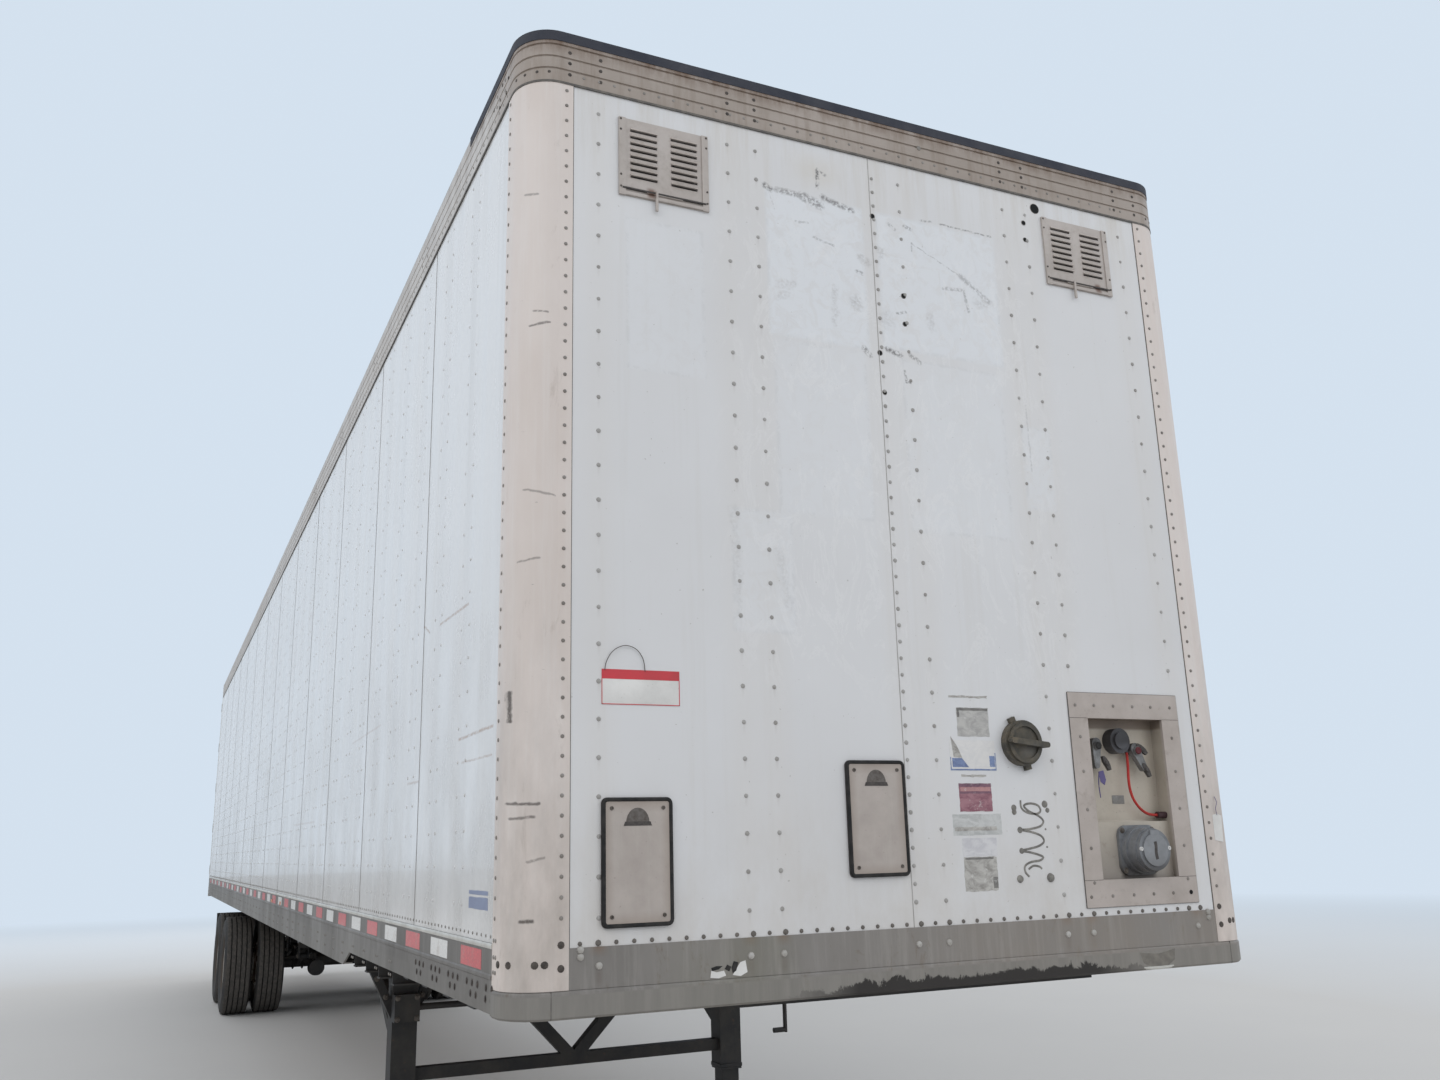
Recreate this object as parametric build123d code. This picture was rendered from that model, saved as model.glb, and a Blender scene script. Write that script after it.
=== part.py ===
from build123d import *
from math import ceil, cos, pi, sin, tan
import os

# A 53 ft dry-van semi trailer of riveted sheet on posts, on its landing legs and a sliding tandem.
# Millimetres. X across (the curb side is -X), Y along with the nose towards -Y, Z up from the ground.
# The origin is on the ground at the middle of the whole length and width.

# Van body
BODY_LENGTH = 16154
WIDTH = 2591
HEIGHT = 4115
FRONT_OUT = 66
REAR_OUT = 76
WALL = 44
SHEET_INSET = 6
FLOOR_TOP = 1292
FLOOR_THICK = 30
SIDE_BAND = 100
NOSE_BAND = 89
TOP_RAIL_HEIGHT = 176
RAIL_GROOVES = 3
GROOVE_DEPTH = 4
CORNER_RADIUS = 125
CORNER_LEG = 164
POST_INSET = 3
POST_PITCH = 610
POST_GROOVE_WIDTH = 70
POST_GROOVE_DEPTH = 8
ROOF_THICK = 6
CAP_LAP = 2
CAP_INWARD = 60
CAP_LENGTH = 690
CAP_DROP = 34
BOW_DEPTH = 40
BOW_WIDTH = 50

# Underframe
LIP_ABOVE_FLOOR = 14
LIP_HALF = 4
RAIL_WEB = 8
SKIRT_FLANGE = 40
STEP_Y = 2660
STEP_RISE = 62
STEP_SLANT = 180
STRIP_BELOW_FLOOR = 14
STRIP_HEIGHT = 71
STRIP_EDGE = 6
BEAM_HEIGHT = 102
BEAM_FLANGE = 57
BEAM_WEB = 6
BEAM_PITCH = 305
FIRST_BEAM_Y = 1650

# Upper coupler
COUPLER_LENGTH = 1460
COUPLER_HALF_WIDTH = 620
COUPLER_DROP = 68
COUPLER_THICK = 10
COUPLER_CHANNELS = 5
COUPLER_CHANNEL_WIDTH = 80
KINGPIN_Y = 914
KINGPIN_COLLAR = 35.7
KINGPIN_NECK = 25.4
KINGPIN_SHOULDER = 36.5
KINGPIN_LENGTH = 84
KINGPIN_FLANGE = 60
PIN_SEAT_CLEARANCE = 0.2

# Nose fittings, as places across X and heights above the floor or below the top rail
VENT_INWARD = 464.5
VENT_BELOW_RAIL = 212
VENT_WIDTH = 305
VENT_HEIGHT = 270
VENT_PLATE = 4
LOUVRE_ROWS = 8
LOUVRE_WIDTH = 90
LOUVRE_PITCH = 23
LOUVRE_SLOT = 7
LOUVRE_OUT = 7
BOX_INWARD = 468.5
BOX_ABOVE_FLOOR = 460
BOX_FRAME_WIDTH = 476
BOX_FRAME_HEIGHT = 688
BOX_STRIP = 76
BOX_END_STRIP = 84
BOX_DEPTH = 56
BOX_WALL = 4
BOX_FRAME_THICK = 4
SOCKET_PANEL_HEIGHT = 182
SOCKET_PANEL_DEPTH = 34
SOCKET_X = 10
SOCKET_ABOVE = 90
SOCKET_FLANGE = 80
SOCKET_RADIUS = 66
SOCKET_OUT = 60
FILTER_X = -17
FILTER_DROP = 72
FILTER_RADIUS = 42
FILTER_OUT = 40
FILTER_STUB = 38
HAND_SEAT = 20
HAND_THICK = 20
HOSE_RADIUS = 4.5
TUBE_X = 377
TUBE_ABOVE_FLOOR = 633
TUBE_RADIUS = 72
TUBE_OUT = 46
TUBE_WING = (150, 18)
TUBE_TURN = -6
COVER_WIDTH = 206
COVER_HEIGHT = 339
COVER_GASKET = 9
COVER_INWARD = 355.5

# Rear frame and doors
REAR_POST_WIDTH = 47
REAR_POST_INSET = 4
REAR_DEPTH = 90
SILL_BELOW_FLOOR = 162
HEADER_HEIGHT = 125
DOOR_THICK = 45
DOOR_PROUD = 5
DOOR_GAP = 8
DOOR_SIDE_GAP = 6
DOOR_MIDDLE_GAP = 12
PIN_OUT = 24
PIN_INSET = 10
PIN_RADIUS = 6
KNUCKLE_RADIUS = 10
HINGE_COUNT = 5
HINGE_END = 200
STRAP_LENGTH = 200
STRAP_HEIGHT = 58
STRAP_THICK = 6
KNUCKLE_GAP = 2
KNUCKLE_HEIGHT = 30
ROD_RADIUS = 13
ROD_OUT = 30
ROD_INWARD = [350, 800]
GUIDE_COUNT = 5
GUIDE_END = 100
KEEPER_IN = 50
HANDLE_ABOVE_FLOOR = 504
HANDLE_LENGTH = 420
LAMP_RADIUS = 24
LAMP_OUT = 12
LAMP_INWARD = [365.5, 235.5]
BUMPER_INWARD = [595.5, 145.5]
BUMPER_HALF = 110
BUMPER_HEIGHT = 80

# Underride guard
GUARD_HALF = 1150
GUARD_Z = 510
GUARD_TUBE = 100
GUARD_IN = 8
GUARD_X = 560
GUARD_UPRIGHT = 80
GUARD_BRACE = 50

# Landing legs
LEG_X = 900
LEG_Y = 3450
LEG_TUBE = 125
LEG_INNER = 100
LEG_SPLIT_Z = 430
SHOE_SIZE = 260
SHOE_HEIGHT = 70
ANKLE = 120
GEARBOX_DEPTH = 60
GEARBOX_HEIGHT = 130
GUSSET_Z = 830
GUSSET_REACH = 160
BRACE_Z = 560
BRACE_SIZE = 60
BRACE_TOP_X = 610
STAY_SIZE = 50
STAY_REACH = 900
STAY_LOW_Z = 620
SHAFT_Z = 885
SHAFT_RADIUS = 16
CRANK_DROP = 285
CRANK_INSET = 60
CRANK_GRIP = 80

# Sliding tandem
REAR_TO_TANDEM = 3699
AXLE_SPACING = 1270
TYRE_RADIUS = 505
TYRE_WIDTH = 280
TYRE_SIDE_GAP = 4
TYRE_FLATS = 44
DUAL_SPACING = 330
RIM_RADIUS = 286
RIM_WIDTH = 210
RIM_FLANGE = 12
RIM_WALL = 9
DISC_THICK = 12
DISC_FLAT = 168
HAND_HOLES = 5
HAND_HOLE_RADIUS = 32
AXLE_RADIUS = 63.5
SPINDLE_RADIUS = 45
SPINDLE_STEP = 157
HUB_CLEARANCE = 0.3
HUB_RADIUS = 78
DRUM_RADIUS = 210
DRUM_WIDTH = 142
DRUM_WALL = 14
DRUM_GAP = 28
SPIDER_X = 175
SLIDER_X = 500
SLIDER_WIDTH = 90
SLIDER_HEIGHT = 237
SLIDER_CLEARANCE = 8
SLIDER_AHEAD = 900
SLIDER_BEHIND = 700
SLIDER_WALL = 10
BODY_RAIL_AHEAD = 2900
BODY_RAIL_BEHIND = 2100
BODY_RAIL_DEPTH = 130
SPRING_HALF = 500
SPRING_WIDTH = 76
SPRING_RISE = 34
LEAF_THICK = 14
LEAF_COUNT = 3
SPRING_SEAT = 26
HANGER_WALL = 10
HANGER_HALF = 62
HANGER_CLEARANCE = 4
ROCKER_HALF = 215
RADIUS_ROD = 22
CAN_RADIUS = 82
CAN_LENGTH = 150
CAN_X = 330
CAN_AHEAD = 175
CAM_RADIUS = 19
TANK_RADIUS = 110
TANK_LENGTH = 620
TANK_ROUND = 50
FLAP_WIDTH = 620
FLAP_HEIGHT = 640
FLAP_THICK = 12
FLAP_BEHIND = 120
FLAP_ARM = 40

HALF = WIDTH / 2
NOSE = -(BODY_LENGTH + FRONT_OUT + REAR_OUT) / 2 + FRONT_OUT
REAR = NOSE + BODY_LENGTH
FRAME_FRONT = REAR - REAR_DEPTH
SHEET = NOSE + SHEET_INSET
RAIL_THICK = SHEET_INSET + WALL
INNER_X = HALF - RAIL_THICK
SIDE_START = NOSE + CORNER_LEG
SIDE_SEAM_Z = FLOOR_TOP + SIDE_BAND
NOSE_SEAM_Z = FLOOR_TOP + NOSE_BAND
RAIL_SEAM_Z = HEIGHT - TOP_RAIL_HEIGHT
ROOF_BOTTOM = HEIGHT - ROOF_THICK
LIP_Z = FLOOR_TOP + LIP_ABOVE_FLOOR
STRIP_TOP = FLOOR_TOP - STRIP_BELOW_FLOOR
STRIP_BOTTOM = STRIP_TOP - STRIP_HEIGHT
FLOOR_BOTTOM = FLOOR_TOP - FLOOR_THICK
BEAM_BOTTOM = FLOOR_BOTTOM - BEAM_HEIGHT
BEAM_END = HALF - RAIL_WEB - SHEET_INSET
SKIRT_BOTTOM = BEAM_BOTTOM - RAIL_WEB
BEAM_COUNT = int((BODY_LENGTH - REAR_DEPTH - BEAM_FLANGE - FIRST_BEAM_Y) / BEAM_PITCH) + 1
COUPLER_BOTTOM = FLOOR_BOTTOM - COUPLER_DROP
SILL_BOTTOM = FLOOR_TOP - SILL_BELOW_FLOOR
HEADER_BOTTOM = HEIGHT - HEADER_HEIGHT
DOOR_FACE = REAR + DOOR_PROUD
PIN_X = HALF - PIN_INSET
PIN_Y = REAR + PIN_OUT
VENT_X = HALF - VENT_INWARD
VENT_Z = RAIL_SEAM_Z - VENT_BELOW_RAIL
BOX_X = HALF - BOX_INWARD
BOX_Z = FLOOR_TOP + BOX_ABOVE_FLOOR
BOX_HALF_X = BOX_FRAME_WIDTH / 2 - BOX_STRIP
BOX_HALF_Z = BOX_FRAME_HEIGHT / 2 - BOX_END_STRIP
BOX_BACK = SHEET + BOX_DEPTH - BOX_WALL
LEG_BACK = NOSE + LEG_Y + LEG_TUBE / 2
LEG_FRONT = NOSE + LEG_Y - LEG_TUBE / 2
SHAFT_Y = LEG_FRONT - GEARBOX_DEPTH / 2
TANDEM_Y = REAR - REAR_TO_TANDEM
OUTER_TYRE_X = HALF - TYRE_SIDE_GAP - TYRE_WIDTH / 2
MOUNT_FACE_X = OUTER_TYRE_X - DUAL_SPACING / 2
SLIDER_TOP = BEAM_BOTTOM - SLIDER_WALL - SLIDER_CLEARANCE
SLIDER_BOTTOM = SLIDER_TOP - SLIDER_HEIGHT
SEAT_Z = TYRE_RADIUS + AXLE_RADIUS + SPRING_SEAT
SPRING_END_Z = SEAT_Z + SPRING_RISE


def block(x0, x1, y0, y1, z0, z1):
    """A box between two corners."""
    middle = Pos((x0 + x1) / 2, (y0 + y1) / 2, (z0 + z1) / 2)
    return middle * Box(abs(x1 - x0), abs(y1 - y0), abs(z1 - z0))


def along_y(points, y0, y1):
    """A profile of (x, z) points carried from y0 to y1."""
    face = make_face(Polyline(*[(x, y0, z) for x, z in points], close=True))
    return extrude(face, amount=y1 - y0, dir=(0, 1, 0))


def along_x(points, x0, x1):
    """A profile of (y, z) points carried from x0 to x1."""
    face = make_face(Polyline(*[(x0, y, z) for y, z in points], close=True))
    return extrude(face, amount=x1 - x0, dir=(1, 0, 0))


def on_nose(sketch, x, y, z, out):
    """A sketch drawn on the nose, carried forward by out."""
    plane = Plane((x, y, z), x_dir=(1, 0, 0), z_dir=(0, -1, 0))
    return extrude(plane * sketch, amount=out)


def rod_x(x0, x1, y, z, radius):
    """A round bar across the trailer."""
    return Pos((x0 + x1) / 2, y, z) * Rot(0, 90, 0) * Cylinder(radius, abs(x1 - x0))


def rod_y(x, y0, y1, z, radius):
    """A round bar along the trailer."""
    return Pos(x, (y0 + y1) / 2, z) * Rot(90, 0, 0) * Cylinder(radius, abs(y1 - y0))


def rod_z(x, y, z0, z1, radius):
    """An upright round bar."""
    return Pos(x, y, (z0 + z1) / 2) * Cylinder(radius, z1 - z0)


def bar(start, end, size):
    """A square bar between two points."""
    path = Line(start, end)
    return sweep(Plane(path @ 0, z_dir=path % 0) * Rectangle(size, size), path=path)


def both_sides(piece):
    """The piece and its mirror image across the trailer."""
    return [piece, mirror(piece, about=Plane.YZ)]


def spread(low, high, count):
    """Heights evenly spaced from low to high."""
    return [low + (high - low) * i / (count - 1) for i in range(count)]


def turned(points):
    """A ring turned about the X axis, from (across, radius) points."""
    return revolve(make_face(Polyline(*points, close=True)), Axis.X, 360)


def beam_y(index):
    """The place along the trailer of one floor beam, counted from the nose."""
    return NOSE + FIRST_BEAM_Y + index * BEAM_PITCH


def save(node, pieces):
    """Writes one node, whose pieces are separate solids."""
    solids = [solid for piece in pieces for solid in piece.solids()]
    export_step(Compound(solids), f"parts/{node}.step")


def wrapped_rail(profile):
    """A rail round the nose: straight across the front and round both corners.

    The profile is (inward, z) points, measured inwards from the outer face."""
    front = along_x([(NOSE + d, z) for d, z in profile], -HALF + CORNER_RADIUS, HALF - CORNER_RADIUS)
    pivot_x = HALF - CORNER_RADIUS
    pivot_y = NOSE + CORNER_RADIUS
    points = [(pivot_x + CORNER_RADIUS - d, pivot_y, z) for d, z in profile]
    corner = revolve(make_face(Polyline(*points, close=True)), Axis((pivot_x, pivot_y, 0), (0, 0, 1)), -90)
    side = along_y([(HALF - d, z) for d, z in profile], pivot_y, SIDE_START)
    rail = front
    for piece in both_sides(corner) + both_sides(side):
        rail = rail + piece
    return rail


def floor_deck():
    deck = block(-INNER_X, INNER_X, NOSE + RAIL_THICK, FRAME_FRONT, FLOOR_BOTTOM, FLOOR_TOP)
    front_corners = deck.edges().filter_by(Axis.Z).sort_by(Axis.Y)[:2]
    return [fillet(front_corners, CORNER_RADIUS - RAIL_THICK)]


def crossmembers():
    # I beams from skirt to skirt.
    half_flange = BEAM_FLANGE / 2
    half_web = BEAM_WEB / 2
    top = FLOOR_BOTTOM
    bottom = BEAM_BOTTOM
    section = [
        (-half_flange, bottom), (half_flange, bottom), (half_flange, bottom + BEAM_WEB),
        (half_web, bottom + BEAM_WEB), (half_web, top - BEAM_WEB), (half_flange, top - BEAM_WEB),
        (half_flange, top), (-half_flange, top), (-half_flange, top - BEAM_WEB),
        (-half_web, top - BEAM_WEB), (-half_web, bottom + BEAM_WEB), (-half_flange, bottom + BEAM_WEB),
    ]
    beam = along_x(section, -BEAM_END, BEAM_END)
    return [Pos(0, beam_y(i), 0) * beam for i in range(BEAM_COUNT)]


def side_rails():
    # The tape band, the lip, the skirt with its foot flange, and the thick part beside the floor.
    outer = HALF - SHEET_INSET / 2
    inner = outer - RAIL_WEB
    profile = [
        (outer, SIDE_SEAM_Z), (outer, LIP_Z + 2 * LIP_HALF), (HALF, LIP_Z + LIP_HALF),
        (HALF, LIP_Z - LIP_HALF), (outer, LIP_Z - 2 * LIP_HALF), (outer, SKIRT_BOTTOM),
        (outer - SKIRT_FLANGE, SKIRT_BOTTOM),
        (outer - SKIRT_FLANGE, SKIRT_BOTTOM + RAIL_WEB), (inner, SKIRT_BOTTOM + RAIL_WEB),
        (inner, FLOOR_BOTTOM), (INNER_X, FLOOR_BOTTOM), (INNER_X, SIDE_SEAM_Z),
    ]
    rail = along_y(profile, SIDE_START, FRAME_FRONT)
    # Ahead of the legs the skirt steps up, with a slanted end.
    below = SKIRT_BOTTOM - RAIL_WEB
    step = [
        (NOSE, below), (NOSE + STEP_Y + STEP_SLANT, below), (NOSE + STEP_Y + STEP_SLANT, SKIRT_BOTTOM),
        (NOSE + STEP_Y, SKIRT_BOTTOM + STEP_RISE), (NOSE, SKIRT_BOTTOM + STEP_RISE),
    ]
    rail = rail - along_x(step, outer - 2 * SKIRT_FLANGE, HALF + SHEET_INSET)
    return both_sides(rail)


def side_walls():
    # One slab a side, as thick as sheet, posts and lining, with a channel at each post.
    outer = HALF - SHEET_INSET
    half_groove = POST_GROOVE_WIDTH / 2
    points = [(outer, SIDE_START), (outer, FRAME_FRONT), (INNER_X, FRAME_FRONT)]
    for i in range(int((FRAME_FRONT - SIDE_START) / POST_PITCH), 0, -1):
        y = SIDE_START + (i - 0.5) * POST_PITCH
        points += [
            (INNER_X, y + half_groove), (INNER_X + POST_GROOVE_DEPTH, y + half_groove),
            (INNER_X + POST_GROOVE_DEPTH, y - half_groove), (INNER_X, y - half_groove),
        ]
    points.append((INNER_X, SIDE_START))
    face = make_face(Polyline(*[(x, y, SIDE_SEAM_Z) for x, y in points], close=True))
    return both_sides(extrude(face, amount=RAIL_SEAM_Z - SIDE_SEAM_Z, dir=(0, 0, 1)))


def top_rail_profile():
    """The section of a top rail, (inward, z) points with grooves in its outer face."""
    points = [(0, RAIL_SEAM_Z)]
    half = GROOVE_DEPTH
    for i in range(1, RAIL_GROOVES + 1):
        z = RAIL_SEAM_Z + (ROOF_BOTTOM - RAIL_SEAM_Z) * i / (RAIL_GROOVES + 1)
        points += [(0, z - half), (half, z - half / 2), (half, z + half / 2), (0, z + half)]
    inward = RAIL_THICK - CAP_LAP
    return points + [(0, ROOF_BOTTOM), (inward, ROOF_BOTTOM), (inward, RAIL_SEAM_Z)]


def top_rails():
    points = [(HALF - CAP_LAP - d, z) for d, z in top_rail_profile()]
    return both_sides(along_y(points, SIDE_START, FRAME_FRONT))


def nose_top_rail():
    return [wrapped_rail([(d + CAP_LAP, z) for d, z in top_rail_profile()])]


def nose_bottom_rail():
    # A rounded strip round the nose, and a taller band that stands on it between the corner posts.
    edge = STRIP_EDGE
    strip = wrapped_rail([
        (0, STRIP_TOP - edge), (0, STRIP_BOTTOM + edge), (edge, STRIP_BOTTOM),
        (RAIL_THICK, STRIP_BOTTOM), (RAIL_THICK, STRIP_TOP), (edge, STRIP_TOP),
    ])
    reach = HALF - CORNER_LEG
    band = block(-reach, reach, NOSE + GROOVE_DEPTH, NOSE + RAIL_THICK, STRIP_TOP, NOSE_SEAM_Z)
    return [strip + band]


def corner_posts():
    # A rounded extrusion with a flange over the nose sheet and one over the side sheet.
    centre_x = HALF - CORNER_RADIUS
    centre_y = NOSE + CORNER_RADIUS
    outer = CORNER_RADIUS - POST_INSET
    inner = CORNER_RADIUS - RAIL_THICK
    flange_x = HALF - CORNER_LEG
    edges = [
        CenterArc((centre_x, centre_y), outer, -90, 90),
        Line((centre_x + outer, centre_y), (centre_x + outer, SIDE_START)),
        Line((centre_x + outer, SIDE_START), (centre_x + inner, SIDE_START)),
        Line((centre_x + inner, SIDE_START), (centre_x + inner, centre_y)),
        CenterArc((centre_x, centre_y), inner, -90, 90),
        Line((centre_x, centre_y - inner), (flange_x, centre_y - inner)),
        Line((flange_x, centre_y - inner), (flange_x, centre_y - outer)),
        Line((flange_x, centre_y - outer), (centre_x, centre_y - outer)),
    ]
    return both_sides(extrude(Pos(0, 0, STRIP_TOP) * make_face(edges), amount=RAIL_SEAM_Z - STRIP_TOP))


def nose_wall():
    # A slab as thick as sheet, posts and lining, open behind the vents and round the connection box.
    half_width = HALF - CORNER_LEG
    back = NOSE + RAIL_THICK
    wall = block(-half_width, half_width, SHEET, back, NOSE_SEAM_Z, RAIL_SEAM_Z)
    pan_x = BOX_HALF_X + BOX_WALL
    pan_z = BOX_HALF_Z + BOX_WALL
    wall = wall - block(BOX_X - pan_x, BOX_X + pan_x, SHEET - 10, back + 10, BOX_Z - pan_z, BOX_Z + pan_z)
    vent_x = VENT_WIDTH * 0.4
    vent_z = VENT_HEIGHT * 0.4
    for x in (-VENT_X, VENT_X):
        wall = wall - block(x - vent_x, x + vent_x, SHEET - 10, back + 10, VENT_Z - vent_z, VENT_Z + vent_z)
    return [wall]


def connection_box():
    # A pan let into the nose, with a frame of strips over the sheet and a thicker panel for the socket.
    pan_x = BOX_HALF_X + BOX_WALL
    pan_z = BOX_HALF_Z + BOX_WALL
    bottom = BOX_Z - BOX_HALF_Z
    pan = block(BOX_X - pan_x, BOX_X + pan_x, SHEET, SHEET + BOX_DEPTH, BOX_Z - pan_z, BOX_Z + pan_z)
    hollow = block(
        BOX_X - BOX_HALF_X, BOX_X + BOX_HALF_X, SHEET - BOX_DEPTH, BOX_BACK, bottom, BOX_Z + BOX_HALF_Z,
    )
    frame = on_nose(Rectangle(BOX_FRAME_WIDTH, BOX_FRAME_HEIGHT), BOX_X, SHEET, BOX_Z, BOX_FRAME_THICK)
    panel = block(
        BOX_X - BOX_HALF_X, BOX_X + BOX_HALF_X, BOX_BACK - SOCKET_PANEL_DEPTH, BOX_BACK,
        bottom, bottom + SOCKET_PANEL_HEIGHT,
    )
    return [((frame + pan) - hollow) + panel]


def gladhands():
    # Two brake couplings, each a hand with its round seal face, on an elbow from the back of the pan.
    top = BOX_Z + BOX_HALF_Z
    seat = BOX_BACK - HAND_SEAT
    pieces = []
    # Columns: place across from the middle of the box, drop below its top, lean of the hand
    for across, drop, lean in ((-120, 82, -4), (47, 98, 28)):
        x = BOX_X + across
        z = top - drop
        elbow = rod_y(x, seat - 8, BOX_BACK, z, 13) + rod_y(x, BOX_BACK - 8, BOX_BACK, z, 18)
        outline = make_hull(Circle(19).edges() + (Pos(0, -72) * Circle(11)).edges())
        hand = on_nose(Rot(0, 0, lean) * outline, x, seat, z, HAND_THICK)
        seal = on_nose(Rot(0, 0, lean) * Pos(0, -8) * Circle(14), x, seat - HAND_THICK, z, 7)
        pieces.append(elbow + hand + seal)
    # The round filter body between them, with the stub that the red hose leaves from
    x = BOX_X + FILTER_X
    z = top - FILTER_DROP
    front = BOX_BACK - FILTER_OUT
    stub = rod_z(x + FILTER_STUB, BOX_BACK - 24, z - FILTER_STUB, z, HOSE_RADIUS + 1.5)
    body = rod_y(x, front, BOX_BACK, z, FILTER_RADIUS) + rod_y(x, front - 8, front, z, FILTER_RADIUS - 14)
    pieces.append(body + stub)
    return pieces


def supply_hose_points():
    """The middle line of the red hose, from the filter's stub to a fitting on the pan's side."""
    x = BOX_X + FILTER_X + FILTER_STUB
    z = BOX_Z + BOX_HALF_Z - FILTER_DROP
    y = BOX_BACK - 24
    # Columns: across, along and up from the middle of the stub's top
    route = [
        (0, 0, -FILTER_STUB), (0, 0, -62), (-3, -2, -92), (-9, -5, -124), (-11, -8, -158), (-3, -9, -190),
        (18, -8, -218), (46, -5, -237), (78, 0, -246), (104, 0, -246),
    ]
    return [(x + dx, y + dy, z + dz) for dx, dy, dz in route]


def hose_radii(points):
    """The largest tangent arc at each inner point of a route."""
    radii = []
    for before, at, after in zip(points, points[1:], points[2:]):
        first = Vector(*at) - Vector(*before)
        second = Vector(*after) - Vector(*at)
        turn = first.get_angle(second) * pi / 180
        radii.append(0.45 * min(first.length, second.length) / tan(turn / 2))
    return radii


def supply_hose():
    points = supply_hose_points()
    radii = hose_radii(points)
    print("hose radii", [round(radius) for radius in radii])
    path = FilletPolyline(*points, radius=radii)
    return [sweep(Plane(path @ 0, z_dir=path % 0) * Circle(HOSE_RADIUS), path=path)]


def hose_fitting():
    """The elbow on the pan's side that the hose goes into."""
    x, y, z = supply_hose_points()[-1]
    return rod_x(x, BOX_X + BOX_HALF_X, y, z, 11)


def power_receptacle():
    # The round socket housing: flange, barrel, ring, and a sprung lid with its hinge.
    panel = BOX_BACK - SOCKET_PANEL_DEPTH
    x = BOX_X + SOCKET_X
    z = BOX_Z - BOX_HALF_Z + SOCKET_ABOVE
    face = NOSE - SOCKET_OUT
    size = 2 * SOCKET_FLANGE
    flange = on_nose(RectangleRounded(size, size, 34), x, panel, z, 12)
    collar = rod_y(x, panel - 34, panel - 12, z, SOCKET_FLANGE - 4)
    barrel = rod_y(x, face + 14, panel - 34, z, SOCKET_RADIUS + 4)
    ring = rod_y(x, face, face + 14, z, SOCKET_RADIUS)
    lid = rod_y(x, face - 5, face, z, SOCKET_RADIUS - 14)
    hinge = block(x - 18, x + 18, face - 6, face, z + SOCKET_RADIUS - 18, z + SOCKET_RADIUS - 4)
    return [flange + collar + barrel + ring + lid + hinge]


def document_tube():
    # A screwed cap over the paper tube, with a bar handle across it and lugs round its edge.
    z = FLOOR_TOP + TUBE_ABOVE_FLOOR
    cap = on_nose(Circle(TUBE_RADIUS), TUBE_X, SHEET, z, 26)
    rim = on_nose(Circle(TUBE_RADIUS - 8), TUBE_X, SHEET - 26, z, 8)
    hollow = on_nose(Circle(TUBE_RADIUS - 20), TUBE_X, SHEET - 28, z, 10)
    wing_out = TUBE_OUT + SHEET_INSET - 26
    handle = Rot(0, 0, TUBE_TURN) * Pos(8, 0) * SlotOverall(*TUBE_WING)
    wing = on_nose(handle, TUBE_X, SHEET - 26, z, wing_out)
    pieces = cap + (rim - hollow) + wing
    for turn in (-76, 112):
        lug = Rot(0, 0, turn) * Pos(TUBE_RADIUS, 0) * Rectangle(30, 22)
        pieces = pieces + on_nose(lug, TUBE_X, SHEET, z, 14)
    return [pieces]


def nose_vents():
    # A louvred plate each side between two channels, with the slide's bar and lever below the louvres.
    plate_front = SHEET - VENT_PLATE
    half_x = VENT_WIDTH / 2
    low = VENT_Z - VENT_HEIGHT / 2
    high = VENT_Z + VENT_HEIGHT / 2
    top = VENT_Z + (LOUVRE_ROWS - 1) * LOUVRE_PITCH / 2 + 17
    pieces = []
    for x in (-VENT_X, VENT_X):
        plate = on_nose(Rectangle(VENT_WIDTH, VENT_HEIGHT), x, SHEET, VENT_Z, VENT_PLATE)
        for side in (-1, 1):
            edge = x + side * half_x
            plate = plate + block(edge, edge - side * 22, plate_front - 4, plate_front, low, high)
        for column in (-1, 1):
            middle = x + column * VENT_WIDTH * 0.226
            x0 = middle - LOUVRE_WIDTH / 2
            x1 = middle + LOUVRE_WIDTH / 2
            for row in range(LOUVRE_ROWS):
                z = top - row * LOUVRE_PITCH
                plate = plate - block(x0, x1, plate_front - 1, SHEET + 1, z - LOUVRE_SLOT, z)
                hood = [(plate_front, z), (plate_front - LOUVRE_OUT, z - 2), (plate_front, z + LOUVRE_SLOT)]
                plate = plate + along_x(hood, x0, x1)
        bar_z = low + 24
        plate = plate + block(x - 60, x + 60, plate_front - 5, plate_front, bar_z - 5, bar_z + 5)
        lever = block(x - 33, x - 25, plate_front - 10, plate_front - 3, bar_z - 62, bar_z + 5)
        pieces.append(plate + lever)
    return pieces


def nose_covers():
    # Screwed plates, each on a rubber gasket that shows round it.
    pieces = []
    # Columns: place across, height of the middle above the floor
    for x, above_floor in ((COVER_INWARD - HALF, 302), (-175, 406)):
        z = FLOOR_TOP + above_floor
        gasket = on_nose(RectangleRounded(COVER_WIDTH, COVER_HEIGHT, 16), x, SHEET, z, 6)
        inside = 2 * COVER_GASKET
        plate = RectangleRounded(COVER_WIDTH - inside, COVER_HEIGHT - inside, 10)
        pieces.append(gasket + on_nose(plate, x, SHEET - 6, z, 3))
    return pieces


def roof_sheet():
    half = HALF - CAP_LAP
    sheet = block(-half, half, NOSE + CAP_LAP, FRAME_FRONT, ROOF_BOTTOM, HEIGHT - CAP_LAP)
    front_corners = sheet.edges().filter_by(Axis.Z).sort_by(Axis.Y)[:2]
    return [fillet(front_corners, CORNER_RADIUS - CAP_LAP)]


def roof_bows():
    pieces = []
    y = SIDE_START + POST_PITCH / 2
    low = ROOF_BOTTOM - BOW_DEPTH
    while y < FRAME_FRONT - BOW_WIDTH:
        pieces.append(block(-INNER_X, INNER_X, y - BOW_WIDTH / 2, y + BOW_WIDTH / 2, low, ROOF_BOTTOM))
        y += POST_PITCH
    return pieces


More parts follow.
